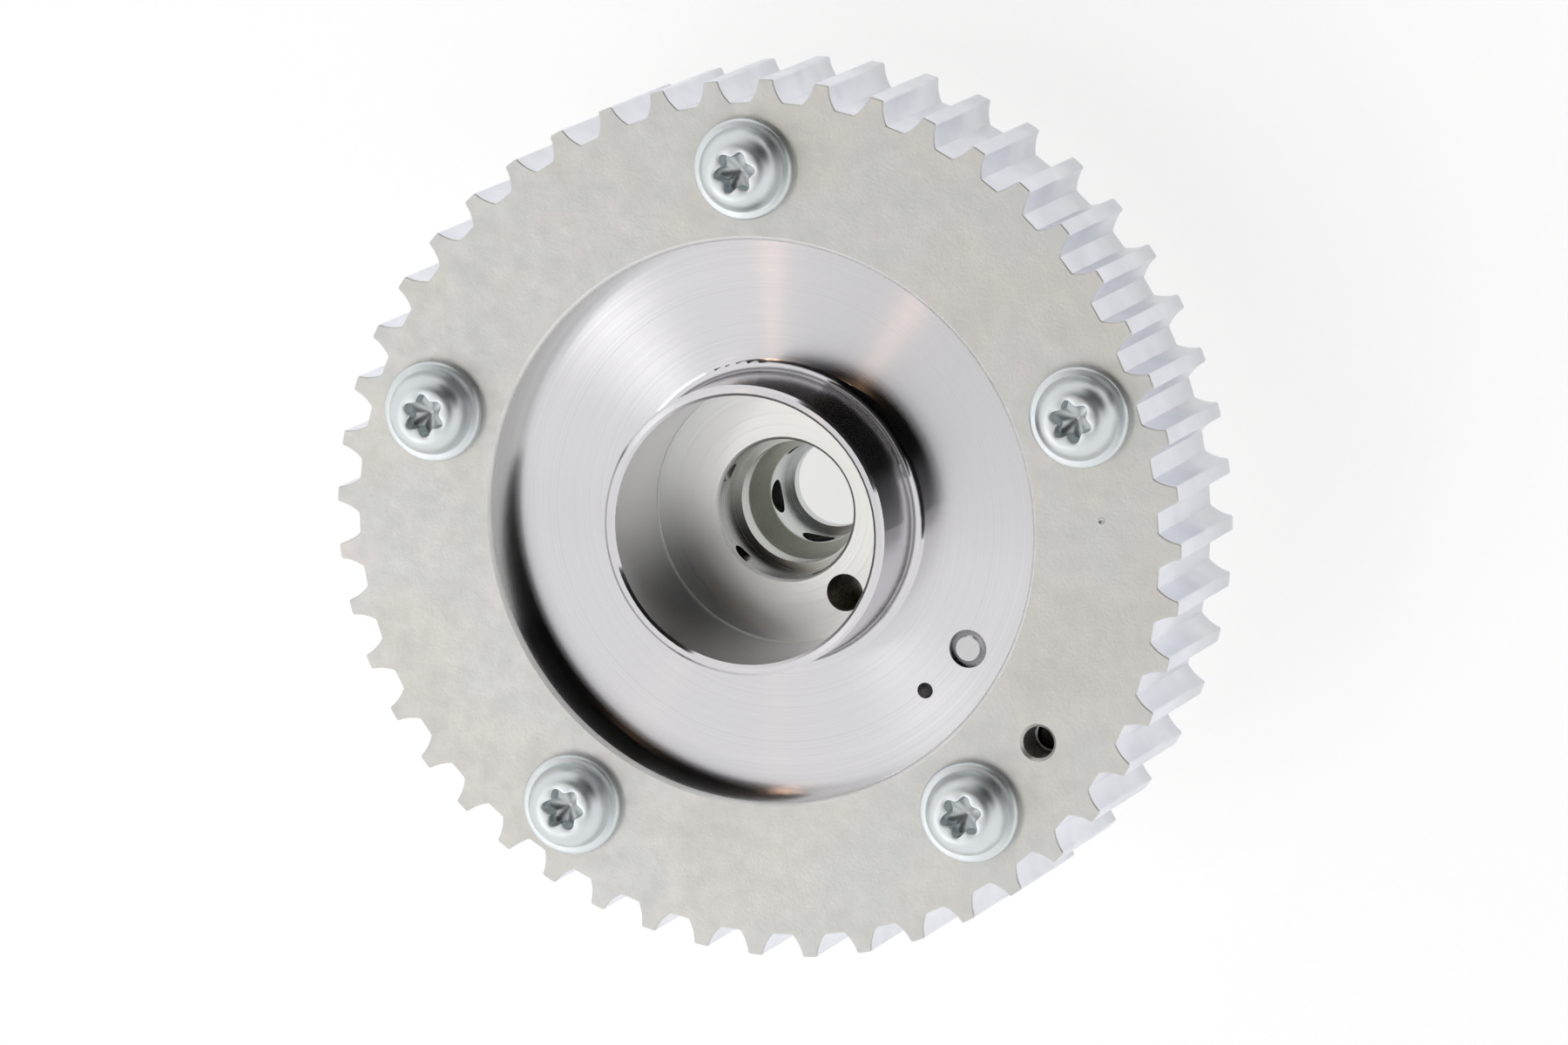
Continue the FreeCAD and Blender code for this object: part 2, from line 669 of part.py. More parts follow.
def add_vanes(body):
    """Five slim vanes, the first one widened into the lock vane, turned to one tip radius."""
    root = "(sizes.gallery_outer_radius + sizes.hub_radius) / 2"
    beyond = "sizes.cartridge_radius"
    slim = new_sketch(body, "vane_profile", level=ROTOR_FRONT, turn=f"{LOCK_VANE_TURN} - 90")
    draw_outline(slim, sector("sizes.vane_half_angle", root, beyond))
    first = pad(body, slim, "vane", ROTOR_LENGTH)
    ring_pattern(body, "vane_ring", [first])
    wide = new_sketch(body, "lock_vane_profile", level=ROTOR_FRONT,
                      turn=f"{LOCK_VANE_TURN} - 90")
    draw_outline(wide, sector(LOCK_VANE_HALF, root, beyond))
    pad(body, wide, "lock_vane", ROTOR_LENGTH)
    trim = new_sketch(body, "tip_profile", level=ROTOR_REAR)
    draw_circle(trim, "0", "0", VANE_TIP)
    draw_circle(trim, "0", "0", "2 * sizes.cartridge_radius")
    pocket(body, trim, "tip_turning", ROTOR_LENGTH)
    slot = new_sketch(body, "seal_slot_profile", level=ROTOR_REAR, turn=LOCK_VANE_TURN)
    draw_outline(slot, box_corners(SEAL_SLOT_FLOOR, "sizes.cartridge_radius",
                                   "sizes.seal_slot_width / 2"))
    first = pocket(body, slot, "seal_slot", ROTOR_LENGTH)
    ring_pattern(body, "seal_slot_ring", [first])


def box_corners(low_x, high_x, half_width):
    """A rectangle along X, symmetric about it."""
    return [(low_x, f"-({half_width})"), (high_x, f"-({half_width})"),
            (high_x, half_width), (low_x, half_width)]


def cut_ports(body):
    """Oblique ports from the rear oil well, and cross ports into the gallery of the front face."""
    port_level = f"({ROTOR_REAR} - sizes.rear_port_depth)"
    gallery_middle = "(sizes.boss_radius + sizes.gallery_outer_radius) / 2"
    slanted = new_sketch(body, "rear_port_circle", "YZ_Plane",
                         turn="sizes.rear_port_direction", turn_axis=Vector(0, 1, 0))
    start_x, start_y = polar("sizes.rear_port_start", "sizes.rear_port_direction")
    slanted.setExpression("AttachmentOffset.Base.z", start_x)
    slanted.setExpression("AttachmentOffset.Base.x", start_y)
    draw_circle(slanted, "sizes.rear_port_offset", port_level, "sizes.rear_port_radius")
    first = pocket(body, slanted, "rear_port", "sizes.hub_radius - sizes.rear_port_start",
                   along_normal=True)
    ring_pattern(body, "rear_port_ring", [first])
    cross = new_sketch(body, "cross_port_circle", "YZ_Plane",
                       turn="sizes.cross_port_turn", turn_axis=Vector(0, 1, 0))
    draw_circle(cross, "0", f"{ROTOR_FRONT} - sizes.cross_port_drop", "sizes.cross_port_radius")
    first = pocket(body, cross, "cross_port", gallery_middle, along_normal=True)
    ring_pattern(body, "cross_port_ring", [first])
    outlet_turn = f"{LOCK_VANE_TURN} - sizes.vane_half_angle - sizes.front_port_turn"
    outlet = new_sketch(body, "front_port_profile", level=ROTOR_FRONT, turn=outlet_turn)
    draw_outline(outlet, box_corners(gallery_middle, "sizes.hub_radius + sizes.running_gap",
                                     "sizes.front_port_width / 2"))
    first = pocket(body, outlet, "front_port", "sizes.front_port_depth", along_normal=True)
    ring_pattern(body, "front_port_ring", [first])


def cut_lock_bore(body):
    """The lock pin's bore, and the groove that leads oil to it from the nearest rear port."""
    place = polar("sizes.lock_circle_radius", "sizes.lock_turn")
    hole(body, "lock_bore", place, ROTOR_REAR, "sizes.pin_body_radius + sizes.running_gap",
         ROTOR_LENGTH)
    middle = "(sizes.lock_circle_radius - sizes.release_groove_inset)"
    groove = new_sketch(body, "release_groove_profile", level=ROTOR_REAR, turn="sizes.lock_turn")
    draw_outline(groove, [
        (f"{middle} - sizes.release_groove_width / 2", "0"),
        (f"{middle} + sizes.release_groove_width / 2", "0"),
        (f"{middle} + sizes.release_groove_width / 2", "sizes.release_groove_length"),
        (f"{middle} - sizes.release_groove_width / 2", "sizes.release_groove_length"),
    ])
    pocket(body, groove, "release_groove", "sizes.release_groove_depth")


def cut_spring_slot(body):
    """The slot in the boss that takes the inner end of the return spring."""
    tail_tip = "(sizes.spiral_start_radius - sizes.spiral_bend_radius - sizes.spiral_tail_length)"
    floor = f"({tail_tip} - 2 * sizes.spiral_slot_gap)"
    half = "(sizes.spiral_thickness / 2 + sizes.spiral_slot_gap)"
    slot = new_sketch(body, "spring_slot_profile", level=BOSS_FRONT)
    middle = "-sizes.spiral_bend_radius"
    beyond = "sizes.boss_radius + 1"
    draw_outline(slot, [
        (floor, f"{middle} - {half}"),
        (beyond, f"{middle} - {half}"),
        (beyond, f"{middle} + {half}"),
        (floor, f"{middle} + {half}"),
    ])
    pocket(body, slot, "spring_slot", f"{POCKET_TOP} - {BOSS_FRONT}", along_normal=True)


# Vane tip seals and leaf springs

def vane_turn(index):
    return f"({LOCK_VANE_TURN} + {index} * {LOBE_PITCH})"


def leaf_rise():
    return "(sizes.leaf_radius - sqrt(sizes.leaf_radius ^ 2 - sizes.leaf_length ^ 2 / 4))"


def make_vane_seal(index):
    body = new_body(f"vane_seal_{index + 1}")
    inner = f"({SEAL_SLOT_FLOOR} + {leaf_rise()} + sizes.leaf_thickness + sizes.seat_gap)"
    outer = f"(sizes.chamber_radius - sizes.running_gap / 2)"
    half = "(sizes.seal_slot_width / 2 - sizes.seal_side_gap)"
    edge = f"sqrt({outer} ^ 2 - {half} ^ 2)"
    sketch = new_sketch(body, "seal_profile", level=ROTOR_FRONT)
    draw_outline(sketch, [
        (inner, f"-{half}"),
        (edge, f"-{half}", outer),
        (edge, half),
        (inner, half),
    ])
    pad(body, sketch, "seal", ROTOR_LENGTH)
    body.setExpression("Placement.Rotation.Angle", vane_turn(index))
    return body


def make_seal_spring(index):
    body = new_body(f"seal_spring_{index + 1}")
    middle = f"({ROTOR_FRONT} + {ROTOR_LENGTH} / 2)"
    low = f"({middle} - sizes.leaf_length / 2)"
    high = f"({middle} + sizes.leaf_length / 2)"
    inner = f"({SEAL_SLOT_FLOOR} + sizes.seat_gap / 2)"
    outer = f"({inner} + sizes.leaf_thickness)"
    sketch = new_sketch(body, "leaf_profile", "XZ_Plane", level="-sizes.leaf_width / 2")
    draw_outline(sketch, [
        (inner, low, "sizes.leaf_radius"),
        (inner, high),
        (outer, high, "-sizes.leaf_radius"),
        (outer, low),
    ])
    pad(body, sketch, "leaf", "sizes.leaf_width")
    body.setExpression("Placement.Rotation.Angle", vane_turn(index))
    return body


# Lock pin and its spring

def make_lock_pin():
    body = new_body("lock_pin")
    revolve(body, "turned", [
        ("sizes.pin_spring_bore_radius", PIN_BOTTOM),
        ("sizes.pin_body_radius", PIN_BOTTOM),
        ("sizes.pin_body_radius", PIN_SHOULDER),
        ("sizes.pin_nose_radius", PIN_SHOULDER),
        ("sizes.pin_nose_radius", f"{PIN_TOP} - sizes.pin_nose_chamfer"),
        ("sizes.pin_nose_radius - sizes.pin_nose_chamfer", PIN_TOP),
        ("0", PIN_TOP),
        ("0", SPRING_CEILING),
        ("sizes.pin_spring_bore_radius", SPRING_CEILING),
    ])
    return place_body(body, "sizes.lock_circle_radius", "sizes.lock_turn")


def make_lock_spring_cap():
    body = new_body("lock_spring_cap")
    outer = "sizes.pin_body_radius + sizes.running_gap - sizes.seat_gap"
    nub_top = f"({LOCK_CAP_TOP} + sizes.lock_cap_nub_height)"
    revolve(body, "turned", [
        ("sizes.lock_cap_vent_radius", ROTOR_FRONT),
        (outer, ROTOR_FRONT),
        (outer, LOCK_CAP_TOP),
        ("sizes.lock_cap_nub_radius", LOCK_CAP_TOP),
        ("sizes.lock_cap_nub_radius", nub_top),
        ("sizes.lock_cap_vent_radius", nub_top),
    ])
    return place_body(body, "sizes.lock_circle_radius", "sizes.lock_turn")


def make_lock_spring():
    helix = doc.addObject("Part::Helix", "lock_spring_path")
    helix.setExpression("Pitch", "sizes.lock_spring_pitch")
    height = f"{SPRING_CEILING} - {LOCK_CAP_TOP} - 2 * sizes.lock_wire_radius - sizes.seat_gap"
    helix.setExpression("Height", height)
    helix.setExpression("Radius", "sizes.lock_spring_radius")
    wire = doc.addObject("Part::Circle", "lock_spring_wire")
    wire.setExpression("Radius", "sizes.lock_wire_radius")
    wire.Placement = Placement(Vector(value("sizes.lock_spring_radius"), 0, 0),
                               Rotation(Vector(1, 0, 0), 90))
    wire.setExpression("Placement.Base.x", "sizes.lock_spring_radius")
    spring = doc.addObject("Part::Sweep", "lock_spring")
    spring.Label = "lock_spring"
    spring.Sections = [wire]
    spring.Spine = (helix, ["Edge1"])
    spring.Solid = True
    spring.Frenet = True
    place_body(spring, "sizes.lock_circle_radius", "sizes.lock_turn")
    spring.setExpression("Placement.Base.z",
                         f"{LOCK_CAP_TOP} + sizes.lock_wire_radius + sizes.seat_gap / 2")
    return spring


# Front plate, return spring, front cover

def make_front_plate():
    body = new_body("front_plate")
    bore = "sizes.boss_radius + sizes.running_gap"
    rim_inner = "sizes.front_cover_radius + sizes.seat_gap"
    ring_groove = f"{RING_OUTER} + sizes.seat_gap"
    rim_front = f"({PLATE_FRONT} - sizes.rim_height)"
    ring_front = f"({RING_REAR} - sizes.ring_thickness - sizes.seat_gap)"
    groove_outer = "sizes.front_seal_radius + sizes.seal_groove_width / 2"
    groove_inner = "sizes.front_seal_radius - sizes.seal_groove_width / 2"
    groove_floor = f"{PLATE_FRONT} + sizes.seal_groove_depth"
    revolve(body, "turned", [
        (bore, STATOR_FRONT),
        (bore, POCKET_TOP),
        ("sizes.pocket_radius", POCKET_TOP),
        ("sizes.pocket_radius", PLATE_FRONT),
        (groove_inner, PLATE_FRONT),
        (groove_inner, groove_floor),
        (groove_outer, groove_floor),
        (groove_outer, PLATE_FRONT),
        (rim_inner, PLATE_FRONT),
        (rim_inner, RING_REAR),
        (ring_groove, RING_REAR),
        (ring_groove, ring_front),
        (rim_inner, ring_front),
        (rim_inner, rim_front),
        ("sizes.rim_radius", rim_front),
        ("sizes.rim_radius", PLATE_FRONT),
        ("sizes.cartridge_radius - sizes.plate_edge_chamfer", PLATE_FRONT),
        ("sizes.cartridge_radius", f"{PLATE_FRONT} + sizes.plate_edge_chamfer"),
        ("sizes.cartridge_radius", STATOR_FRONT),
    ])
    screw_holes(body, STATOR_FRONT, "sizes.screw_radius + sizes.seat_gap",
                "sizes.plate_thickness")
    hole(body, "post_hole", ("sizes.post_circle_radius", "0"), POCKET_TOP, "sizes.post_radius + sizes.seat_gap",
         "sizes.post_sink + sizes.seat_gap", along_normal=True)
    return body


def make_spring_post():
    body = new_body("spring_post")
    top = f"({POCKET_TOP} + sizes.post_sink)"
    bottom = f"({PLATE_FRONT} + sizes.post_end_gap)"
    thin = "sizes.post_radius - sizes.post_chamfer"
    revolve(body, "turned", [
        ("0", bottom),
        (thin, bottom),
        ("sizes.post_radius", f"{bottom} + sizes.post_chamfer"),
        ("sizes.post_radius", f"{top} - sizes.post_chamfer"),
        (thin, top),
        ("0", top),
    ])
    body.setExpression("Placement.Base.x", "sizes.post_circle_radius")
    return body


def spiral_side(offset):
    """One side of the spring strip: tail, bend, half turns of growing radius and hook."""
    start = value("sizes.spiral_start_radius")
    bend = value("sizes.spiral_bend_radius")
    tail = value("sizes.spiral_tail_length")
    pitch = value("sizes.spiral_pitch")
    edges = []
    bend_centre = Vector(start - bend, 0, 0)
    bent = bend + offset
    tail_tip = Vector(bend_centre.x - tail, -bent, 0)
    edges.append(Part.LineSegment(tail_tip, Vector(bend_centre.x, -bent, 0)))
    edges.append(turn_arc(bend_centre, bent, -90, 0))
    shift = 0
    for index in range(int(value("sizes.spiral_half_turns"))):
        radius = start + index * pitch / 2
        first = 180 * (index % 2)
        edges.append(turn_arc(Vector(shift, 0, 0), radius + offset, first, first + 180))
        shift = pitch / 2 - shift
    hook = value("sizes.hook_radius")
    post = Vector(value("sizes.post_circle_radius"), 0, 0)
    edges.append(turn_arc(post, hook - offset, 180, 180 - value("sizes.hook_angle")))
    return edges


def turn_arc(centre, radius, first, last):
    """An arc about a centre between two directions in degrees, either way round."""
    points = []
    for turn in (first, (first + last) / 2, last):
        angle = math.radians(turn)
        points.append(centre + Vector(math.cos(angle), math.sin(angle), 0) * radius)
    return Part.Arc(*points)


def make_return_spring():
    half = value("sizes.spiral_thickness") / 2
    inner = spiral_side(-half)
    outer = spiral_side(half)
    caps = [
        Part.LineSegment(inner[0].StartPoint, outer[0].StartPoint),
        Part.LineSegment(inner[-1].EndPoint, outer[-1].EndPoint),
    ]
    edges = [curve.toShape() for curve in inner + outer + caps]
    outline = doc.addObject("Part::Feature", "return_spring_outline")
    outline.Shape = Part.Face(Part.Wire(Part.__sortEdges__(edges)))
    spring = doc.addObject("Part::Extrusion", "return_spring")
    spring.Label = "return_spring"
    spring.Base = outline
    spring.DirMode = "Custom"
    spring.Dir = Vector(0, 0, 1)
    spring.setExpression("LengthFwd", "sizes.spiral_width")
    spring.setExpression("Placement.Base.z", SPIRAL_FRONT)
    return spring


def make_front_cover():
    body = new_body("front_cover")
    disc_front = f"({PLATE_FRONT} - sizes.front_cover_thickness)"
    rear = f"({PLATE_FRONT} - sizes.seat_gap)"
    revolve(body, "turned", [
        ("sizes.plug_thread_radius + sizes.plug_mouth_chamfer", "0"),
        ("sizes.collar_radius - sizes.collar_chamfer", "0"),
        ("sizes.collar_radius", "sizes.collar_chamfer"),
        ("sizes.collar_radius", disc_front),
        ("sizes.front_cover_radius", disc_front),
        ("sizes.front_cover_radius", rear),
        ("sizes.collar_relief_radius", rear),
        ("sizes.collar_relief_radius", "sizes.plug_thread_length"),
        ("sizes.plug_thread_radius", "sizes.plug_thread_length"),
        ("sizes.plug_thread_radius", "sizes.plug_mouth_chamfer"),
    ])
    return body


def make_snap_ring():
    body = new_body("snap_ring")
    inner = "sizes.front_cover_radius - sizes.ring_overlap"
    rear = f"{RING_REAR} - sizes.seat_gap / 2"
    front = f"{RING_REAR} - sizes.ring_thickness - sizes.seat_gap / 2"
    ring = revolve(body, "ring", [(inner, front), (RING_OUTER, front), (RING_OUTER, rear),
                                  (inner, rear)])
    ring.setExpression("Angle", "360 - sizes.ring_opening_angle")
    return body


def make_seal_ring(label, radius, low_face):
    """A rubber ring lying in a groove of the common depth."""
    ring = doc.addObject("Part::Torus", label)
    ring.Label = label
    ring.setExpression("Radius1", radius)
    ring.setExpression("Radius2", "sizes.seal_cord_radius")
    ring.setExpression("Placement.Base.z", f"{low_face} + sizes.seal_groove_depth / 2")
    return ring


# Clamp screws

def six_lobes():
    """The recess outline: six round lobes joined by six hollow waists."""
    corners = []
    for index in range(6):
        middle = 60 * index
        near = f"({middle} - 11)"
        far = f"({middle} + 11)"
        waist = "((sizes.recess_radius + sizes.recess_waist_radius) / 2)"
        corners.append((*polar(waist, near), "sizes.recess_lobe_radius"))
        corners.append((*polar(waist, far), "-sizes.recess_waist_curve"))
    return corners


def make_clamp_screws():
    screw = doc.addObject("PartDesign::Body", "one_screw")
    seat = REAR_FACE
    tip = f"({REAR_FACE} - sizes.screw_length)"
    washer_top = f"({REAR_FACE} + sizes.washer_thickness)"
    head_top = f"({REAR_FACE} + sizes.head_height)"
    revolve(screw, "turned", [
        ("0", tip),
        ("sizes.screw_radius - sizes.screw_end_chamfer", tip),
        ("sizes.screw_radius", f"{tip} + sizes.screw_end_chamfer"),
        ("sizes.screw_radius", seat),
        ("sizes.washer_radius - sizes.washer_round", seat, "sizes.washer_round"),
        ("sizes.washer_radius", f"{seat} + sizes.washer_round"),
        ("sizes.washer_radius", f"{washer_top} - sizes.washer_round", "sizes.washer_round"),
        ("sizes.washer_radius - sizes.washer_round", washer_top),
        ("sizes.head_radius", washer_top, "sizes.head_dome_radius"),
        ("sizes.head_crown_radius", head_top),
        ("0", head_top),
    ])
    recess = new_sketch(screw, "recess_profile", level=head_top)
    draw_outline(recess, six_lobes())
    pocket(screw, recess, "recess", "sizes.recess_depth")
    screw.setExpression("Placement.Base.y", "sizes.screw_circle_radius")
    doc.recompute()
    count = int(value("sizes.screw_count"))
    ring = [spun(screw.Shape, index, count) for index in range(count)]
    screws = doc.addObject("Part::Feature", "clamp_screws")
    screws.Label = "clamp_screws"
    screws.Shape = Part.makeCompound(ring)
    return screws


def spun(shape, index, count):
    copy = shape.copy()
    copy.rotate(Vector(), Vector(0, 0, 1), 360 * index / count)
    return copy


def build():
    fill_sheet()
    parts = [
        make_toothed_pulley(),
        make_rear_cover(),
        make_lock_seat(),
        make_locating_dowel(),
        make_stator(),
        make_rotor(),
        make_lock_pin(),
        make_lock_spring(),
        make_lock_spring_cap(),
        make_front_plate(),
        make_spring_post(),
        make_return_spring(),
        make_front_cover(),
        make_snap_ring(),
        make_seal_ring("rear_seal_ring", "sizes.seal_groove_radius",
                       f"{COVER_REAR} - sizes.seal_groove_depth"),
        make_seal_ring("front_seal_ring", "sizes.front_seal_radius", PLATE_FRONT),
        make_clamp_screws(),
    ]
    for index in range(int(value("sizes.screw_count"))):
        parts.append(make_vane_seal(index))
        parts.append(make_seal_spring(index))
    doc.recompute()
    return parts


def check(parts):
    for item in doc.Objects:
        if "Invalid" in item.State or "Error" in item.State:
            raise RuntimeError(f"{item.Name} failed: {item.State}")
        cut_kinds = ("PartDesign::Pocket", "PartDesign::Groove")
        if item.TypeId in cut_kinds and item.BaseFeature is not None:
            removed = item.BaseFeature.Shape.Volume - item.Shape.Volume
            if removed < 1e-3:
                raise RuntimeError(f"{item.Name} of {item.getParentGeoFeatureGroup().Label} cuts nothing")
    for item in parts:
        if item.Shape.isNull() or not item.Shape.isValid():
            raise RuntimeError(f"{item.Label} has no valid shape")


def write(parts):
    os.makedirs("parts", exist_ok=True)
    for item in parts:
        item.Shape.exportStep(f"parts/{item.Label}.step")
        print(f"{item.Label}: {len(item.Shape.Solids)} solids, {item.Shape.Volume:.1f} mm3")


sub_parts = build()
check(sub_parts)
write(sub_parts)
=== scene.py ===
import json
import math

import bmesh
import bpy
from mathutils import Matrix, Vector

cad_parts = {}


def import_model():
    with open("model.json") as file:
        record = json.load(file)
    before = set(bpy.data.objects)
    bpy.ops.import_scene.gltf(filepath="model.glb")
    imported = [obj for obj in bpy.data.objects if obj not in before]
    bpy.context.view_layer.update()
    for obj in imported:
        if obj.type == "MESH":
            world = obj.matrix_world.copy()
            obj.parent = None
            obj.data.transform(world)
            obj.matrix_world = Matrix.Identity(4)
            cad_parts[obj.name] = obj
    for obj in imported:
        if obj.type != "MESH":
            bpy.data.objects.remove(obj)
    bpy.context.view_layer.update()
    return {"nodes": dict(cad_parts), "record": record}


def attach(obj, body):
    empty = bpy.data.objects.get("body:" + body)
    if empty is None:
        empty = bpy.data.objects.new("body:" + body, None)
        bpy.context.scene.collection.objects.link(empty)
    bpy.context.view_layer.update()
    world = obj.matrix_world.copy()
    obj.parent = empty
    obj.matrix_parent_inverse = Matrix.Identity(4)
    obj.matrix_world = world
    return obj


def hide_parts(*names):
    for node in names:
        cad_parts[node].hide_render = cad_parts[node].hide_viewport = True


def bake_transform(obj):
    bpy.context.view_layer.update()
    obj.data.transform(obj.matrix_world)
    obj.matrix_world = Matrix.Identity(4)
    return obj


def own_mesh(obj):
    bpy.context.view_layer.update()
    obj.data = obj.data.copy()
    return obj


# Looks of a camshaft belt pulley that lies on its front end, its seal journal up.
# Lengths are millimetres up to the point where a mesh is made, which is in metres.
MM = 0.001

# Heights above the floor
BELT_FRONT = 19.2
COVER_REAR = 37.6
REAR_FACE = 44.0
SCREW_TIP = 9.0

# Belt teeth
TOOTH_COUNT = 48
TIP_RADIUS = 60.45
TOOTH_DEPTH = 3.14
TOOTH_TIP_HALF = 1.1
TOOTH_ROOT_HALF = 2.375
TOOTH_FLANK_RADIUS = 6.0
TOOTH_TIP_ROUND = 0.35
TOOTH_TURN = 4.35
LOBE_RISE = 0.78
LOBE_TURN = 67.7
TOOTH_EDGE = 0.16

# Pulley body
OPENING_RADIUS = 38.77
OPENING_CHAMFER = 0.45
BORE_RADIUS = 53.55
BORE_LEAD = 0.8
SCREW_CIRCLE = 48.64
SCREW_TURNS = (90, 162, 234, 306, 18)
SCREW_HOLE = 3.3
FIXTURE_HOLE = 2.2
FIXTURE_CHAMFER = 0.4
FIXTURE_TURN = -37.73
PUNCH_RADIUS = 0.5
PUNCH_DEPTH = 0.3
PUNCH_TURN = 1.0

# Clamp screws
SCREW_RADIUS = 3.0
SCREW_SPINS = (8, 33, 51, 14, 42)
SCREW_STEPS = 144
HEAD_PROFILE = (
    (6.5, 0.0), (6.82, 0.1), (6.97, 0.3), (7.0, 0.55), (7.0, 0.95), (6.93, 1.2),
    (6.75, 1.4), (6.45, 1.5), (6.0, 1.5), (5.86, 1.56), (5.8, 1.75), (5.74, 2.3),
    (5.58, 2.9), (5.3, 3.45), (4.9, 3.95), (4.4, 4.35), (3.85, 4.6), (3.5, 4.68),
)
HEAD_TOP = 4.7
RECESS_MEAN = 2.49
RECESS_SWING = 0.41
RECESS_DEPTH = 2.8

# Front cover with the plug thread
FRONT_COVER_RADIUS = 37.0
COLLAR_RADIUS = 20.0
COLLAR_CHAMFER = 0.6
COLLAR_LENGTH = 8.98
DISC_FRONT = 7.0
RELIEF_RADIUS = 15.6
THREAD_CREST = 14.2
THREAD_DEPTH = 0.85
THREAD_PITCH = 1.5
THREAD_LENGTH = 5.0
MOUTH_CHAMFER = 0.8
COVER_STEPS = 180

# Colours of the rotor by height: front bore, taper, throat, oil well, seat. The dark bands from
# 18.4 to 22.8 mm and from 26.2 to 32.3 mm are painted shade
ROTOR_TONES_AND_SHADE = (
    (0.0, (0.74, 0.76, 0.75)), (17.6, (0.74, 0.76, 0.75)),
    (18.4, (0.30, 0.31, 0.25)), (22.8, (0.36, 0.36, 0.31)),
    (23.2, (0.72, 0.73, 0.69)), (25.9, (0.72, 0.73, 0.69)),
    (26.2, (0.42, 0.42, 0.39)), (32.3, (0.50, 0.50, 0.48)),
    (32.6, (0.94, 0.945, 0.91)),
)
TONES_TOP = 40
SEAT_BASE = 32.5
# Painted shade: below the seat and beyond this radius the rotor takes a dark tone
SHADE_START_RADIUS = 10.4
HOLLOW_SHADE_TONE = (0.38, 0.35, 0.31, 1)
SEAT_ROUGHNESS = (0.38, 0.48)
BELOW_SEAT_SMOOTHER = -0.14

# Strengths of the floor's and the world's own light
FLOOR_GLOW = 0.7
WORLD_LIGHT = 0.42

# The photograph's camera, fitted to the teeth, the screws and the recess
IMAGE_WIDTH = 1800
FOCAL_PIXELS = 14247
SENSOR = 36
VIEW_SPIN = 0.85
VIEW_TILT = Vector((9.472, 18.408, 0))
VIEW_SHIFT = Vector((-3.33, 0.02, 1687.51))

RING_STEPS = 360


# Mesh helpers

def ring(radius, height, steps=RING_STEPS, centre=(0, 0)):
    """Points of a circle, anticlockwise seen from above."""
    points = []
    for index in range(steps):
        turn = 2 * math.pi * index / steps
        x = centre[0] + radius * math.cos(turn)
        y = centre[1] + radius * math.sin(turn)
        points.append(Vector((x, y, height)))
    return points


def polar(radius, turn):
    angle = math.radians(turn)
    return radius * math.cos(angle), radius * math.sin(angle)


class Shell:
    """A mesh made of loops of points that are joined by quads or filled."""

    def __init__(self):
        self.bm = bmesh.new()
        self.flat = []

    def loop(self, points):
        return [self.bm.verts.new(point * MM) for point in points]

    def join(self, lower, upper):
        """Quads between two loops of the same count."""
        count = len(lower)
        for index in range(count):
            after = (index + 1) % count
            corners = (lower[index], lower[after], upper[after], upper[index])
            self.bm.faces.new(corners)

    def wall(self, rows):
        """Joins rows of points one after another and returns their loops."""
        loops = [self.loop(row) for row in rows]
        for lower, upper in zip(loops, loops[1:]):
            self.join(lower, upper)
        return loops

    def fill(self, loops):
        """Fills a flat face whose first loop is the outside and the others are holes."""
        edges = []
        for verts in loops:
            for index, vert in enumerate(verts):
                after = verts[(index + 1) % len(verts)]
                edge = self.bm.edges.get((vert, after)) or self.bm.edges.new((vert, after))
                edges.append(edge)
        filled = bmesh.ops.triangle_fill(
            self.bm, use_beauty=True, use_dissolve=False, edges=edges)
        self.flat += [item for item in filled["geom"] if isinstance(item, bmesh.types.BMFace)]

    def finish(self, name, material, sharp_angle=32):
        bmesh.ops.recalc_face_normals(self.bm, faces=self.bm.faces)
        limit = math.radians(sharp_angle)
        for edge in self.bm.edges:
            edge.smooth = edge.calc_face_angle(math.pi) < limit
        for face in self.bm.faces:
            face.smooth = True
        for face in self.flat:
            face.smooth = False
        mesh = bpy.data.meshes.new(name)
        self.bm.to_mesh(mesh)
        self.bm.free()
        mesh.materials.append(material)
        piece = bpy.data.objects.new(name, mesh)
        bpy.context.scene.collection.objects.link(piece)
        return piece


# Belt pulley

def lobed_point(turn, depth):
    """A point of the three lobed outline under the tooth tips, and its outward normal."""
    phase = 3 * (turn - math.radians(LOBE_TURN))
    radius = TIP_RADIUS - depth + LOBE_RISE * math.cos(phase)
    slope = -3 * LOBE_RISE * math.sin(phase)
    outward = Vector((math.cos(turn), math.sin(turn)))
    sideways = Vector((-math.sin(turn), math.cos(turn)))
    normal = (outward * radius - sideways * slope).normalized()
    return outward * radius, normal


def tooth_turn(index):
    even = math.radians(TOOTH_TURN + 360 * index / TOOTH_COUNT)
    swing = LOBE_RISE / (3 * TIP_RADIUS)
    return even - swing * math.sin(3 * (even - math.radians(LOBE_TURN)))


def half_tooth():
    """One side of a tooth from its root to its land, as (sideways, outward) points."""
    start = Vector((TOOTH_ROOT_HALF, 0))
    end = Vector((TOOTH_TIP_HALF, TOOTH_DEPTH - TOOTH_TIP_ROUND))
    chord = end - start
    reach = math.sqrt(TOOTH_FLANK_RADIUS ** 2 - chord.length_squared / 4)
    aside = Vector((-chord.y, chord.x)).normalized()
    centre = (start + end) / 2 - aside * reach
    low = math.atan2(start.y - centre.y, start.x - centre.x)
    high = math.atan2(end.y - centre.y, end.x - centre.x)
    points = []
    for step in range(9):
        angle = low + (high - low) * step / 8
        points.append(centre + Vector((math.cos(angle), math.sin(angle))) * TOOTH_FLANK_RADIUS)
    round_centre = Vector((TOOTH_TIP_HALF - TOOTH_TIP_ROUND, TOOTH_DEPTH - TOOTH_TIP_ROUND))
    for step in range(1, 6):
        angle = math.pi / 2 * step / 5
        points.append(round_centre + Vector((math.cos(angle), math.sin(angle))) * TOOTH_TIP_ROUND)
    return points


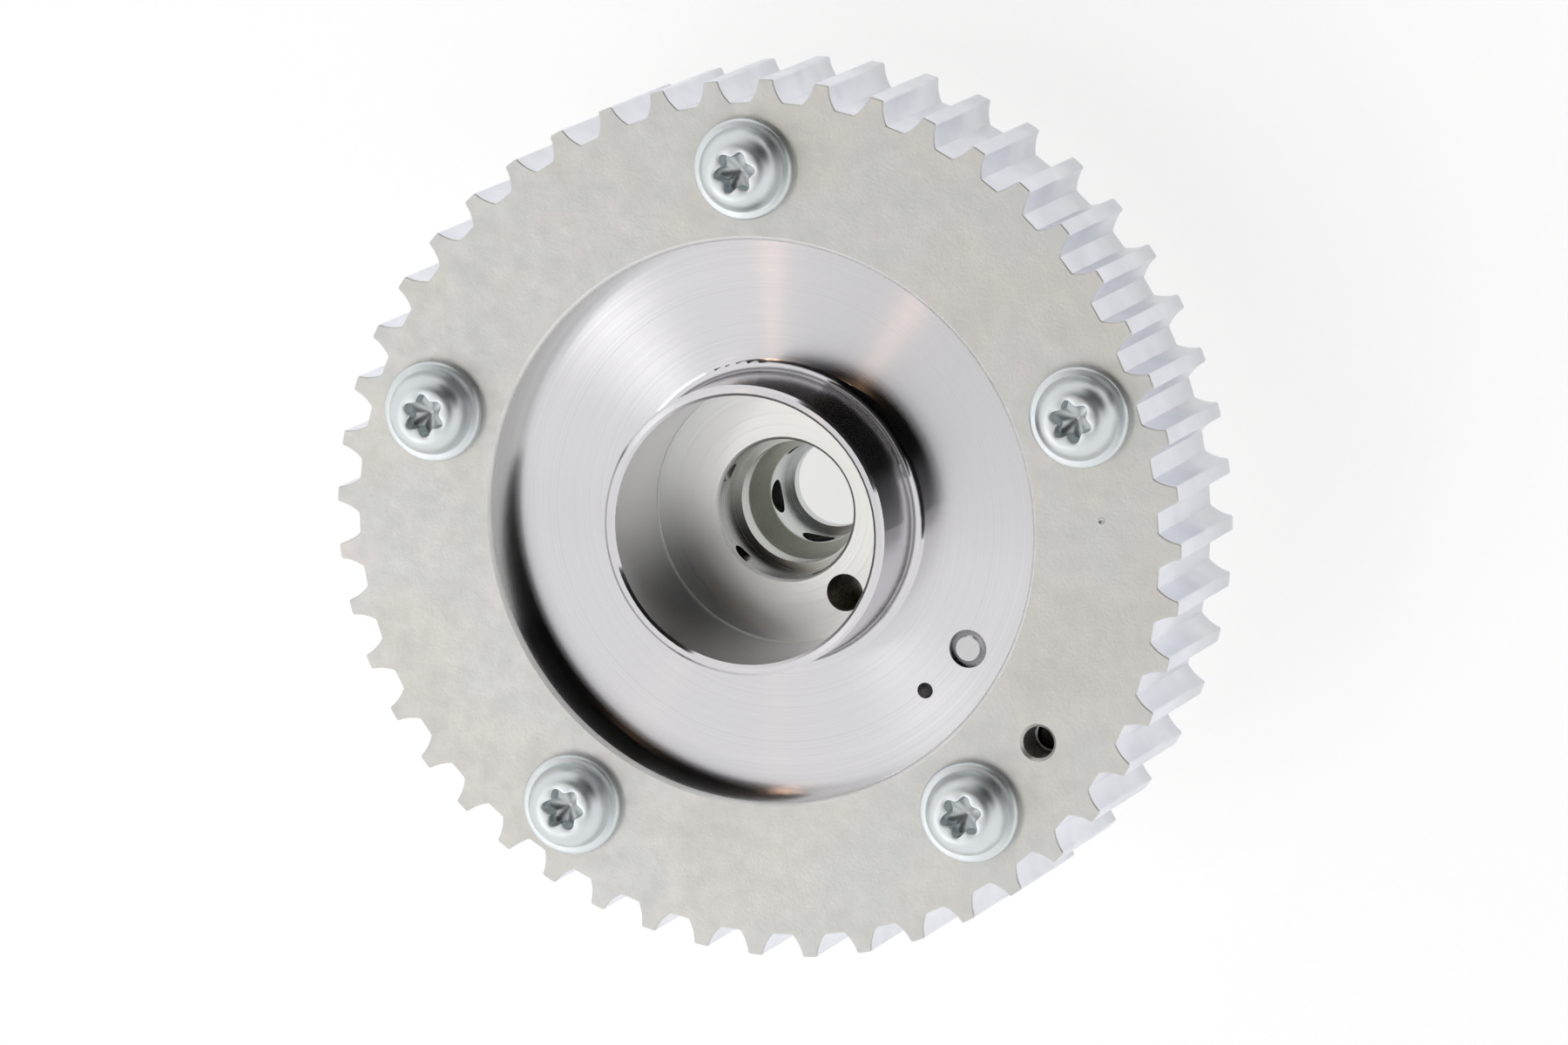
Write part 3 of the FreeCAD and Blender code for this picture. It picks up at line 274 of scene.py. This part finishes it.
def tooth_outline():
    """The whole outline, anticlockwise, with the root lands on the lobed line."""
    side = half_tooth()
    profile = [(-p.x, p.y) for p in side] + [(p.x, p.y) for p in reversed(side)]
    outline = []
    turns = [tooth_turn(index) for index in range(TOOTH_COUNT + 1)]
    for index in range(TOOTH_COUNT):
        root, normal = lobed_point(turns[index], TOOTH_DEPTH)
        across = Vector((-normal.y, normal.x))
        outline += [root + across * x + normal * y for x, y in profile]
        for share in (0.38, 0.5, 0.62):
            between = turns[index] + (turns[index + 1] - turns[index]) * share
            if index == TOOTH_COUNT - 1:
                between = turns[index] + (turns[0] + 2 * math.pi - turns[index]) * share
            outline.append(lobed_point(between, TOOTH_DEPTH)[0])
    return outline


def inset(points, amount):
    """Moves each point of an anticlockwise outline inwards by about an amount."""
    moved = []
    count = len(points)
    for index, point in enumerate(points):
        run = points[(index + 1) % count] - points[index - 1]
        moved.append(point + Vector((-run.y, run.x)).normalized() * amount)
    return moved


def raised(points, height):
    return [Vector((point.x, point.y, height)) for point in points]


def make_belt_pulley(materials):
    shell = Shell()
    outline = tooth_outline()
    small = inset(outline, TOOTH_EDGE)
    middle = inset(outline, TOOTH_EDGE * 0.3)
    outer = shell.wall([
        raised(small, BELT_FRONT),
        raised(middle, BELT_FRONT + TOOTH_EDGE * 0.3),
        raised(outline, BELT_FRONT + TOOTH_EDGE),
        raised(outline, REAR_FACE - TOOTH_EDGE),
        raised(middle, REAR_FACE - TOOTH_EDGE * 0.3),
        raised(small, REAR_FACE),
    ])
    inner = shell.wall([
        ring(BORE_RADIUS + BORE_LEAD, BELT_FRONT),
        ring(BORE_RADIUS, BELT_FRONT + BORE_LEAD),
        ring(BORE_RADIUS, COVER_REAR),
    ])
    soft = OPENING_CHAMFER * 0.3
    opening = shell.wall([
        ring(OPENING_RADIUS, COVER_REAR),
        ring(OPENING_RADIUS, REAR_FACE - OPENING_CHAMFER - soft),
        ring(OPENING_RADIUS + OPENING_CHAMFER * 0.1, REAR_FACE - OPENING_CHAMFER),
        ring(OPENING_RADIUS + OPENING_CHAMFER * 0.8, REAR_FACE - soft),
        ring(OPENING_RADIUS + OPENING_CHAMFER + soft, REAR_FACE),
    ])
    holes = [make_screw_hole(shell, turn) for turn in SCREW_TURNS]
    holes.append(make_fixture_hole(shell))
    punch_mark = make_punch_mark(shell)
    shell.fill([outer[0], inner[0]])
    shell.fill([inner[-1], opening[0]] + [hole[0] for hole in holes])
    shell.fill([outer[-1], opening[-1]] + [hole[-1] for hole in holes] + [punch_mark])
    piece = shell.finish("belt_pulley", materials["sintered_steel"])
    # The tooth flanks and the opening's chamfer get lighter copies of the steel: painted
    # highlights
    for name in ("opening_steel", "tooth_flank_highlight_steel", "chamfer_highlight_steel"):
        piece.data.materials.append(materials[name])
    paint_belt_pulley(piece.data)
    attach(piece, "housing")
    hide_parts("toothed_pulley")


def make_screw_hole(shell, turn):
    centre = polar(SCREW_CIRCLE, turn)
    return shell.wall([
        ring(SCREW_HOLE, COVER_REAR, 48, centre),
        ring(SCREW_HOLE, REAR_FACE, 48, centre),
    ])


def make_fixture_hole(shell):
    centre = polar(SCREW_CIRCLE, FIXTURE_TURN)
    return shell.wall([
        ring(FIXTURE_HOLE, COVER_REAR, 64, centre),
        ring(FIXTURE_HOLE, REAR_FACE - FIXTURE_CHAMFER, 64, centre),
        ring(FIXTURE_HOLE + FIXTURE_CHAMFER, REAR_FACE, 64, centre),
    ])


def paint_belt_pulley(mesh):
    """Material 1 goes on the opening's wall, 3 on its chamfer and 2 on the tooth flanks; 2 and 3
    are lighter copies of the steel, painted highlights.
    """
    wall_limit = (OPENING_RADIUS + OPENING_CHAMFER) * MM
    chamfer_limit = (OPENING_RADIUS + 1) * MM
    flank_start = (TIP_RADIUS - TOOTH_DEPTH - 1) * MM
    for polygon in mesh.polygons:
        distance = polygon.center.xy.length
        rise = abs(polygon.normal.z)
        if rise < 0.9 and distance < wall_limit:
            polygon.material_index = 1
        if 0.1 < rise < 0.95 and distance < chamfer_limit:
            polygon.material_index = 3
        if rise < 0.1 and distance > flank_start:
            polygon.material_index = 2


def make_punch_mark(shell):
    """A shallow round dent, whose rim the flange's face is filled up to."""
    centre = polar(SCREW_CIRCLE, PUNCH_TURN)
    rows = []
    for share in (0.15, 0.5, 0.8, 1.0):
        depth = PUNCH_DEPTH * (1 - share ** 2)
        rows.append(ring(PUNCH_RADIUS * share, REAR_FACE - depth, 32, centre))
    loops = shell.wall(rows)
    shell.fill([loops[0]])
    return loops[-1]


# Clamp screws

def lobed_ring(height, grow=0.0, lobes=1.0):
    """A ring that follows the six lobed recess."""
    points = []
    for index in range(SCREW_STEPS):
        turn = 2 * math.pi * index / SCREW_STEPS
        radius = RECESS_MEAN + grow + RECESS_SWING * lobes * math.cos(6 * turn)
        points.append(Vector((radius * math.cos(turn), radius * math.sin(turn), height)))
    return points


def make_screw(material):
    """One flanged screw about its own axis, with its seat at height 0."""
    tip = SCREW_TIP - REAR_FACE
    shank = ((0.5, tip), (2.3, tip), (SCREW_RADIUS, tip + 0.7), (SCREW_RADIUS, 0.0))
    bottom = HEAD_TOP - RECESS_DEPTH
    rows = [ring(radius, height, SCREW_STEPS) for radius, height in shank + HEAD_PROFILE]
    rows += [
        lobed_ring(HEAD_TOP, 0.30, 0.85),
        lobed_ring(HEAD_TOP - 0.04, 0.12, 0.95),
        lobed_ring(HEAD_TOP - 0.2, 0.0),
        lobed_ring(bottom, -0.04),
        lobed_ring(bottom - 0.12, -0.35, 0.75),
        ring(1.0, bottom - 0.5, SCREW_STEPS),
        ring(0.25, bottom - 0.7, SCREW_STEPS),
    ]
    shell = Shell()
    loops = shell.wall(rows)
    shell.fill([loops[0]])
    shell.fill([loops[-1]])
    return shell.finish("clamp_screw_1", material)


def make_screws(material):
    first = make_screw(material)
    for index, (turn, spin) in enumerate(zip(SCREW_TURNS, SCREW_SPINS)):
        piece = first
        if index:
            piece = bpy.data.objects.new(f"clamp_screw_{index + 1}", first.data)
            bpy.context.scene.collection.objects.link(piece)
        x, y = polar(SCREW_CIRCLE * MM, turn)
        place = Matrix.Translation((x, y, REAR_FACE * MM))
        piece.matrix_world = place @ Matrix.Rotation(math.radians(spin), 4, "Z")
        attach(piece, "housing")
        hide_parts("clamp_screws")


# Front cover

def thread_rows():
    """Rows of the threaded bore, from its inner end to its mouth."""
    rows = []
    count = int(THREAD_LENGTH / THREAD_PITCH * 12)
    for row in range(count + 1):
        height = THREAD_LENGTH * (1 - row / count)
        fade = min(1.0, height / MOUTH_CHAMFER)
        points = []
        for index in range(COVER_STEPS):
            turn = 2 * math.pi * index / COVER_STEPS
            phase = (height / THREAD_PITCH - index / COVER_STEPS) % 1
            groove = max(0.0, 1 - abs(phase - 0.5) * 2.6)
            radius = THREAD_CREST + max(THREAD_DEPTH * groove * fade, MOUTH_CHAMFER * (1 - fade))
            points.append(Vector((radius * math.cos(turn), radius * math.sin(turn), height)))
        rows.append(points)
    return rows


def make_front_cover(material):
    profile = [
        (COLLAR_RADIUS - COLLAR_CHAMFER, 0.0),
        (COLLAR_RADIUS, COLLAR_CHAMFER),
        (COLLAR_RADIUS, DISC_FRONT - 0.5),
        (COLLAR_RADIUS + 0.15, DISC_FRONT - 0.15),
        (COLLAR_RADIUS + 0.5, DISC_FRONT),
        (FRONT_COVER_RADIUS - 0.2, DISC_FRONT),
        (FRONT_COVER_RADIUS, DISC_FRONT + 0.2),
        (FRONT_COVER_RADIUS, COLLAR_LENGTH),
        (RELIEF_RADIUS, COLLAR_LENGTH),
        (RELIEF_RADIUS, THREAD_LENGTH),
    ]
    shell = Shell()
    rows = [ring(radius, height, COVER_STEPS) for radius, height in profile]
    rows += thread_rows()
    loops = shell.wall(rows)
    shell.join(loops[-1], loops[0])
    piece = shell.finish("threaded_front_cover", material)
    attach(piece, "housing")
    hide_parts("front_cover")


# Copies of the springs, the lock spring following the rotor

def copied(node, material):
    """A piece with a copy of the node's own mesh, placed where the node stands."""
    mesh = node.data.copy()
    mesh.transform(node.matrix_world)
    mesh.materials.clear()
    mesh.materials.append(material)
    piece = bpy.data.objects.new(f"moving_{node.name}", mesh)
    bpy.context.scene.collection.objects.link(piece)
    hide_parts(node.name)
    return piece


def make_moving_springs(nodes, material):
    """The spiral stays where it is, and the coil goes with the rotor."""
    spiral = copied(nodes["return_spring"], material)
    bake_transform(spiral)
    coil = copied(nodes["lock_spring"], material)
    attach(coil, "rotor")
    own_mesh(coil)


# Materials

class Nodes:
    """Adds and links the nodes of one material."""

    def __init__(self, name):
        self.material = bpy.data.materials.new(name)
        self.material.use_nodes = True
        self.tree = self.material.node_tree
        self.shader = self.tree.nodes["Principled BSDF"]
        self.place = self.add("ShaderNodeTexCoord").outputs["Object"]

    def add(self, kind, **settings):
        node = self.tree.nodes.new(kind)
        for name, setting in settings.items():
            setattr(node, name, setting)
        return node

    def link(self, source, target):
        self.tree.links.new(source, target)

    def noise(self, scale, detail=3.0, place=None):
        node = self.add("ShaderNodeTexNoise")
        node.inputs["Scale"].default_value = scale
        node.inputs["Detail"].default_value = detail
        self.link(place or self.place, node.inputs["Vector"])
        return node.outputs["Fac"]

    def spread(self, source, low, high):
        """Maps the middle of a noise to a range."""
        node = self.add("ShaderNodeMapRange")
        node.inputs["From Min"].default_value = 0.3
        node.inputs["From Max"].default_value = 0.7
        node.inputs["To Min"].default_value = low
        node.inputs["To Max"].default_value = high
        self.link(source, node.inputs["Value"])
        return node.outputs["Result"]

    def tones(self, source, colors):
        """Runs a noise through evenly spaced colours."""
        node = self.add("ShaderNodeValToRGB")
        ramp = node.color_ramp
        ramp.elements[0].position = 0.3
        ramp.elements[0].color = (*colors[0], 1)
        ramp.elements[1].position = 0.7
        ramp.elements[1].color = (*colors[-1], 1)
        for index, color in enumerate(colors[1:-1], start=1):
            middle = ramp.elements.new(0.3 + 0.4 * index / (len(colors) - 1))
            middle.color = (*color, 1)
        self.link(source, node.inputs["Fac"])
        return node.outputs["Color"]

    def bump(self, source, strength, distance, before=None):
        node = self.add("ShaderNodeBump")
        node.inputs["Strength"].default_value = strength
        node.inputs["Distance"].default_value = distance
        self.link(source, node.inputs["Height"])
        if before:
            self.link(before, node.inputs["Normal"])
        return node.outputs["Normal"]

    def lathe_tangent(self):
        """The direction across the turning marks, which run round the part's axis."""
        geometry = self.add("ShaderNodeNewGeometry")
        around = self.add("ShaderNodeVectorMath", operation="CROSS_PRODUCT")
        around.inputs[0].default_value = (0, 0, 1)
        self.link(geometry.outputs["Position"], around.inputs[1])
        across = self.add("ShaderNodeVectorMath", operation="CROSS_PRODUCT")
        self.link(geometry.outputs["Normal"], across.inputs[0])
        self.link(around.outputs["Vector"], across.inputs[1])
        return across.outputs["Vector"]

    def radius(self):
        """The distance from the part's axis along X and the height along Y."""
        flat = self.add("ShaderNodeVectorMath", operation="MULTIPLY")
        flat.inputs[1].default_value = (1, 1, 0)
        self.link(self.place, flat.inputs[0])
        length = self.add("ShaderNodeVectorMath", operation="LENGTH")
        self.link(flat.outputs["Vector"], length.inputs[0])
        combined = self.add("ShaderNodeCombineXYZ")
        self.link(length.outputs["Value"], combined.inputs["X"])
        split = self.add("ShaderNodeSeparateXYZ")
        self.link(self.place, split.inputs["Vector"])
        self.link(split.outputs["Z"], combined.inputs["Y"])
        return combined.outputs["Vector"]


def sintered_steel():
    """Pressed and sintered steel: matte, warm, with faint clouds and fine grain."""
    nodes = Nodes("sintered steel")
    shader = nodes.shader
    shader.inputs["Metallic"].default_value = 1.0
    colors = [(0.63, 0.62, 0.585), (0.67, 0.655, 0.62), (0.64, 0.645, 0.625),
              (0.685, 0.655, 0.635)]
    nodes.link(nodes.tones(nodes.noise(55, 3), colors), shader.inputs["Base Color"])
    nodes.link(nodes.spread(nodes.noise(420, 4), 0.40, 0.52), shader.inputs["Roughness"])
    grain = nodes.bump(nodes.noise(2600, 4), 0.28, 0.00006)
    nodes.link(nodes.bump(nodes.noise(180, 3), 0.12, 0.00035, grain), shader.inputs["Normal"])
    return nodes.material


def turned_steel(name, color, roughness, lathe_pitch, anisotropy, streak=0.05):
    """Steel turned on a lathe: rings round the axis and a highlight drawn out across them."""
    nodes = Nodes(name)
    shader = nodes.shader
    shader.inputs["Metallic"].default_value = 1.0
    shader.inputs["Anisotropic"].default_value = anisotropy
    nodes.link(nodes.lathe_tangent(), shader.inputs["Tangent"])
    radius = nodes.radius()
    rings = nodes.noise(1000 / lathe_pitch, 2, radius)
    dark = tuple(0.94 * value for value in color)
    nodes.link(nodes.tones(rings, [dark, color]), shader.inputs["Base Color"])
    nodes.link(nodes.spread(rings, roughness - streak, roughness + streak),
               shader.inputs["Roughness"])
    nodes.link(nodes.bump(rings, 0.10, 0.00002), shader.inputs["Normal"])
    return nodes.material


def rotor_steel():
    """The rotor: ground seat and bore, an unground well and taper, and painted shade by height
    and in the holes below the seat.
    """
    nodes = Nodes("rotor steel")
    shader = nodes.shader
    shader.inputs["Metallic"].default_value = 1.0
    shader.inputs["Anisotropic"].default_value = 0.4
    nodes.link(nodes.lathe_tangent(), shader.inputs["Tangent"])
    split = nodes.add("ShaderNodeSeparateXYZ")
    nodes.link(nodes.radius(), split.inputs["Vector"])
    place = nodes.add("ShaderNodeMapRange")
    place.inputs["From Max"].default_value = TONES_TOP * MM
    nodes.link(split.outputs["Y"], place.inputs["Value"])
    # Painted shade: this ramp darkens two bands of the bore by height
    tones = nodes.add("ShaderNodeValToRGB")
    elements = tones.color_ramp.elements
    for index, (height, color) in enumerate(ROTOR_TONES_AND_SHADE):
        share = height / TONES_TOP
        element = elements[index] if index < 2 else elements.new(share)
        element.position = share
        element.color = (*color, 1)
    nodes.link(place.outputs["Result"], tones.inputs["Fac"])
    # Painted shade over the holes beyond the radius and below the seat
    outside = nodes.add("ShaderNodeMath", operation="GREATER_THAN")
    outside.inputs[1].default_value = SHADE_START_RADIUS * MM
    nodes.link(split.outputs["X"], outside.inputs[0])
    below = nodes.add("ShaderNodeMath", operation="LESS_THAN")
    below.inputs[1].default_value = SEAT_BASE * MM
    nodes.link(split.outputs["Y"], below.inputs[0])
    hollow_shade = nodes.add("ShaderNodeMath", operation="MULTIPLY")
    nodes.link(outside.outputs[0], hollow_shade.inputs[0])
    nodes.link(below.outputs[0], hollow_shade.inputs[1])
    mixed = nodes.add("ShaderNodeMix", data_type="RGBA")
    nodes.link(hollow_shade.outputs[0], mixed.inputs["Factor"])
    nodes.link(tones.outputs["Color"], mixed.inputs["A"])
    mixed.inputs["B"].default_value = HOLLOW_SHADE_TONE
    nodes.link(mixed.outputs["Result"], shader.inputs["Base Color"])
    marks = nodes.noise(2500, 2, nodes.radius())
    smoother = nodes.add("ShaderNodeMath", operation="MULTIPLY_ADD")
    nodes.link(below.outputs[0], smoother.inputs[0])
    smoother.inputs[1].default_value = BELOW_SEAT_SMOOTHER
    nodes.link(nodes.spread(marks, *SEAT_ROUGHNESS), smoother.inputs[2])
    nodes.link(smoother.outputs[0], shader.inputs["Roughness"])
    nodes.link(nodes.bump(marks, 0.08, 0.00002), shader.inputs["Normal"])
    return nodes.material


def plain_metal(name, color, roughness, grain_scale, grain):
    nodes = Nodes(name)
    shader = nodes.shader
    shader.inputs["Metallic"].default_value = 1.0
    dark = tuple(0.9 * value for value in color)
    nodes.link(nodes.tones(nodes.noise(90, 4), [dark, color]), shader.inputs["Base Color"])
    nodes.link(nodes.spread(nodes.noise(300, 4), roughness - 0.06, roughness + 0.08),
               shader.inputs["Roughness"])
    nodes.link(nodes.bump(nodes.noise(grain_scale, 3), grain, 0.00005), shader.inputs["Normal"])
    return nodes.material


def soft_material(name, color, roughness):
    nodes = Nodes(name)
    shader = nodes.shader
    light = tuple(1.5 * value + 0.01 for value in color)
    nodes.link(nodes.tones(nodes.noise(200, 3), [color, light]), shader.inputs["Base Color"])
    nodes.link(nodes.spread(nodes.noise(600, 3), roughness - 0.05, roughness + 0.05),
               shader.inputs["Roughness"])
    nodes.link(nodes.bump(nodes.noise(1500, 3), 0.2, 0.00005), shader.inputs["Normal"])
    return nodes.material


def make_materials():
    return {
        "sintered_steel": sintered_steel(),
        "polished_steel": turned_steel("polished steel", (0.69, 0.68, 0.70), 0.125, 0.25, 1.0,
                                       0.01),
        "stator_steel": plain_metal("stator steel", (0.52, 0.51, 0.49), 0.48, 2400, 0.25),
        "rotor_steel": rotor_steel(),
        "plate_steel": turned_steel("plate steel", (0.54, 0.54, 0.53), 0.30, 0.5, 0.5),
        "cover_steel": turned_steel("cover steel", (0.58, 0.58, 0.57), 0.26, 0.4, 0.5),
        "hardened_steel": turned_steel("hardened steel", (0.62, 0.62, 0.63), 0.22, 0.3, 0.3),
        # Painted highlight: near-white steel for the opening's chamfer ring
        "chamfer_highlight_steel": plain_metal("chamfer painted highlight", (0.98, 0.98, 0.96), 0.6, 1500, 0.1),
        "spring_steel": plain_metal("spring steel", (0.28, 0.29, 0.33), 0.32, 900, 0.1),
        "zinc_screws": plain_metal("zinc", (0.73, 0.77, 0.785), 0.40, 1300, 0.15),
        "seal_polymer": soft_material("seal polymer", (0.05, 0.04, 0.03), 0.45),
        # Painted highlight: the tooth flanks are lighter and bluer than the sintered steel they
        # are made of
        "tooth_flank_highlight_steel": plain_metal("tooth flank painted highlight", (0.86, 0.87, 0.92), 0.38, 1500, 0.15),
        "black_steel": plain_metal("black steel", (0.05, 0.05, 0.05), 0.4, 900, 0.1),
        "opening_steel": turned_steel("opening steel", (0.60, 0.60, 0.58), 0.14, 0.3, 0.4, 0.02),
        "rubber": soft_material("rubber", (0.02, 0.02, 0.02), 0.6),
    }


def dress_nodes(frame, materials):
    """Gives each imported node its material, and smooth shading off its level faces."""
    slots = {part["node"]: part["material_slot"] for part in frame["record"]["subparts"]}
    for name, node in frame["nodes"].items():
        node.data.materials.clear()
        dark = name == "locating_dowel"
        node.data.materials.append(materials["black_steel" if dark else slots[name]])
        for polygon in node.data.polygons:
            polygon.use_smooth = abs(polygon.normal.z) < 0.9999


# Camera, floor and light

def view_turn():
    """The rotation from the part's frame to the camera's."""
    flip = Matrix.Diagonal((1, -1, -1))
    spin = Matrix.Rotation(math.radians(VIEW_SPIN), 3, "Z")
    tilt = Matrix.Rotation(math.radians(VIEW_TILT.length), 3, VIEW_TILT)
    return flip @ tilt @ flip @ spin


def make_camera():
    turn = view_turn()
    shift = Matrix.Diagonal((1, -1, -1)) @ VIEW_SHIFT
    place = Vector((0, 0, REAR_FACE)) - turn.transposed() @ shift
    data = bpy.data.cameras.new("camera")
    data.sensor_width = SENSOR
    data.lens = FOCAL_PIXELS / IMAGE_WIDTH * SENSOR
    data.clip_start = 0.05
    data.clip_end = 20
    camera = bpy.data.objects.new("camera", data)
    camera.matrix_world = Matrix.Translation(place * MM) @ turn.transposed().to_4x4()
    bpy.context.scene.collection.objects.link(camera)
    bpy.context.scene.camera = camera


def background_rays(tree):
    """1 for rays that see the background: from the camera, in gloss or through glass."""
    rays = tree.nodes.new("ShaderNodeLightPath")
    source = rays.outputs["Is Camera Ray"]
    for name in ("Is Glossy Ray", "Is Transmission Ray"):
        larger = tree.nodes.new("ShaderNodeMath")
        larger.operation = "MAXIMUM"
        tree.links.new(source, larger.inputs[0])
        tree.links.new(rays.outputs[name], larger.inputs[1])
        source = larger.outputs[0]
    return source


def make_floor():
    material = bpy.data.materials.new("floor")
    material.use_nodes = True
    tree = material.node_tree
    shader = tree.nodes["Principled BSDF"]
    shader.inputs["Base Color"].default_value = (0.82, 0.82, 0.82, 1)
    shader.inputs["Roughness"].default_value = 0.8
    shader.inputs["Specular IOR Level"].default_value = 0.1
    shader.inputs["Emission Color"].default_value = (1, 1, 1, 1)
    glow = tree.nodes.new("ShaderNodeMath")
    glow.operation = "MULTIPLY"
    glow.inputs[1].default_value = FLOOR_GLOW
    tree.links.new(background_rays(tree), glow.inputs[0])
    tree.links.new(glow.outputs[0], shader.inputs["Emission Strength"])
    bpy.ops.mesh.primitive_plane_add(size=6, location=(0, 0, 0))
    floor = bpy.context.object
    floor.name = "floor"
    floor.data.materials.append(material)


def make_card(name, direction, distance, radius, shade):
    """A round card behind the camera, which the polished faces mirror."""
    material = bpy.data.materials.new(name)
    material.use_nodes = True
    shader = material.node_tree.nodes["Principled BSDF"]
    shader.inputs["Base Color"].default_value = (shade, shade, shade, 1)
    shader.inputs["Roughness"].default_value = 1.0
    shader.inputs["Specular IOR Level"].default_value = 0.0
    bpy.ops.mesh.primitive_circle_add(vertices=64, radius=radius, fill_type="NGON")
    card = bpy.context.object
    card.name = name
    facing = Vector(direction).normalized()
    card.rotation_euler = facing.to_track_quat("Z", "Y").to_euler()
    card.location = facing * distance
    card.data.materials.append(material)


def make_lamp(name, direction, distance, width, height, power, color=(1, 1, 1)):
    data = bpy.data.lights.new(name, "AREA")
    data.shape = "RECTANGLE"
    data.size = width
    data.size_y = height
    data.energy = power
    data.color = color
    lamp = bpy.data.objects.new(name, data)
    facing = Vector(direction).normalized()
    lamp.location = facing * distance
    lamp.rotation_euler = facing.to_track_quat("Z", "Y").to_euler()
    bpy.context.scene.collection.objects.link(lamp)


def make_world():
    world = bpy.data.worlds.new("world")
    bpy.context.scene.world = world
    world.use_nodes = True
    tree = world.node_tree
    background = tree.nodes["Background"]
    background.inputs["Color"].default_value = (1, 1, 1, 1)
    strength = tree.nodes.new("ShaderNodeMapRange")
    strength.inputs["To Min"].default_value = WORLD_LIGHT
    strength.inputs["To Max"].default_value = 1.0
    tree.links.new(background_rays(tree), strength.inputs["Value"])
    tree.links.new(strength.outputs["Result"], background.inputs["Strength"])


def make_stage():
    """Key and fill light, two small warm lamps for the disc's streaks, two dark cards."""
    make_floor()
    make_world()
    make_lamp("key", (-0.44, 0.0, 0.9), 1.8, 0.16, 0.16, 0.4)
    make_lamp("fill", (-0.45, -0.35, 0.6), 1.1, 0.5, 0.5, 0.85)
    warm = (1, 0.62, 0.38)
    make_lamp("warm_1", (-0.302, 0.042, 0.95), 1.3, 0.008, 0.008, 0.04, warm)
    make_lamp("warm_2", (-0.197, 0.003, 0.98), 1.3, 0.008, 0.008, 0.04, warm)
    make_card("black_card", (0.13, 0.25, 0.96), 2.3, 1.22, 0.004)
    make_card("side_card", (0.60, 0.62, 0.44), 2.3, 1.35, 0.05)


def main():
    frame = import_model()
    materials = make_materials()
    dress_nodes(frame, materials)
    make_belt_pulley(materials)
    make_screws(materials["zinc_screws"])
    make_front_cover(materials["cover_steel"])
    make_moving_springs(frame["nodes"], materials["spring_steel"])
    make_stage()
    make_camera()
    bpy.context.scene.view_settings.view_transform = "Standard"


main()
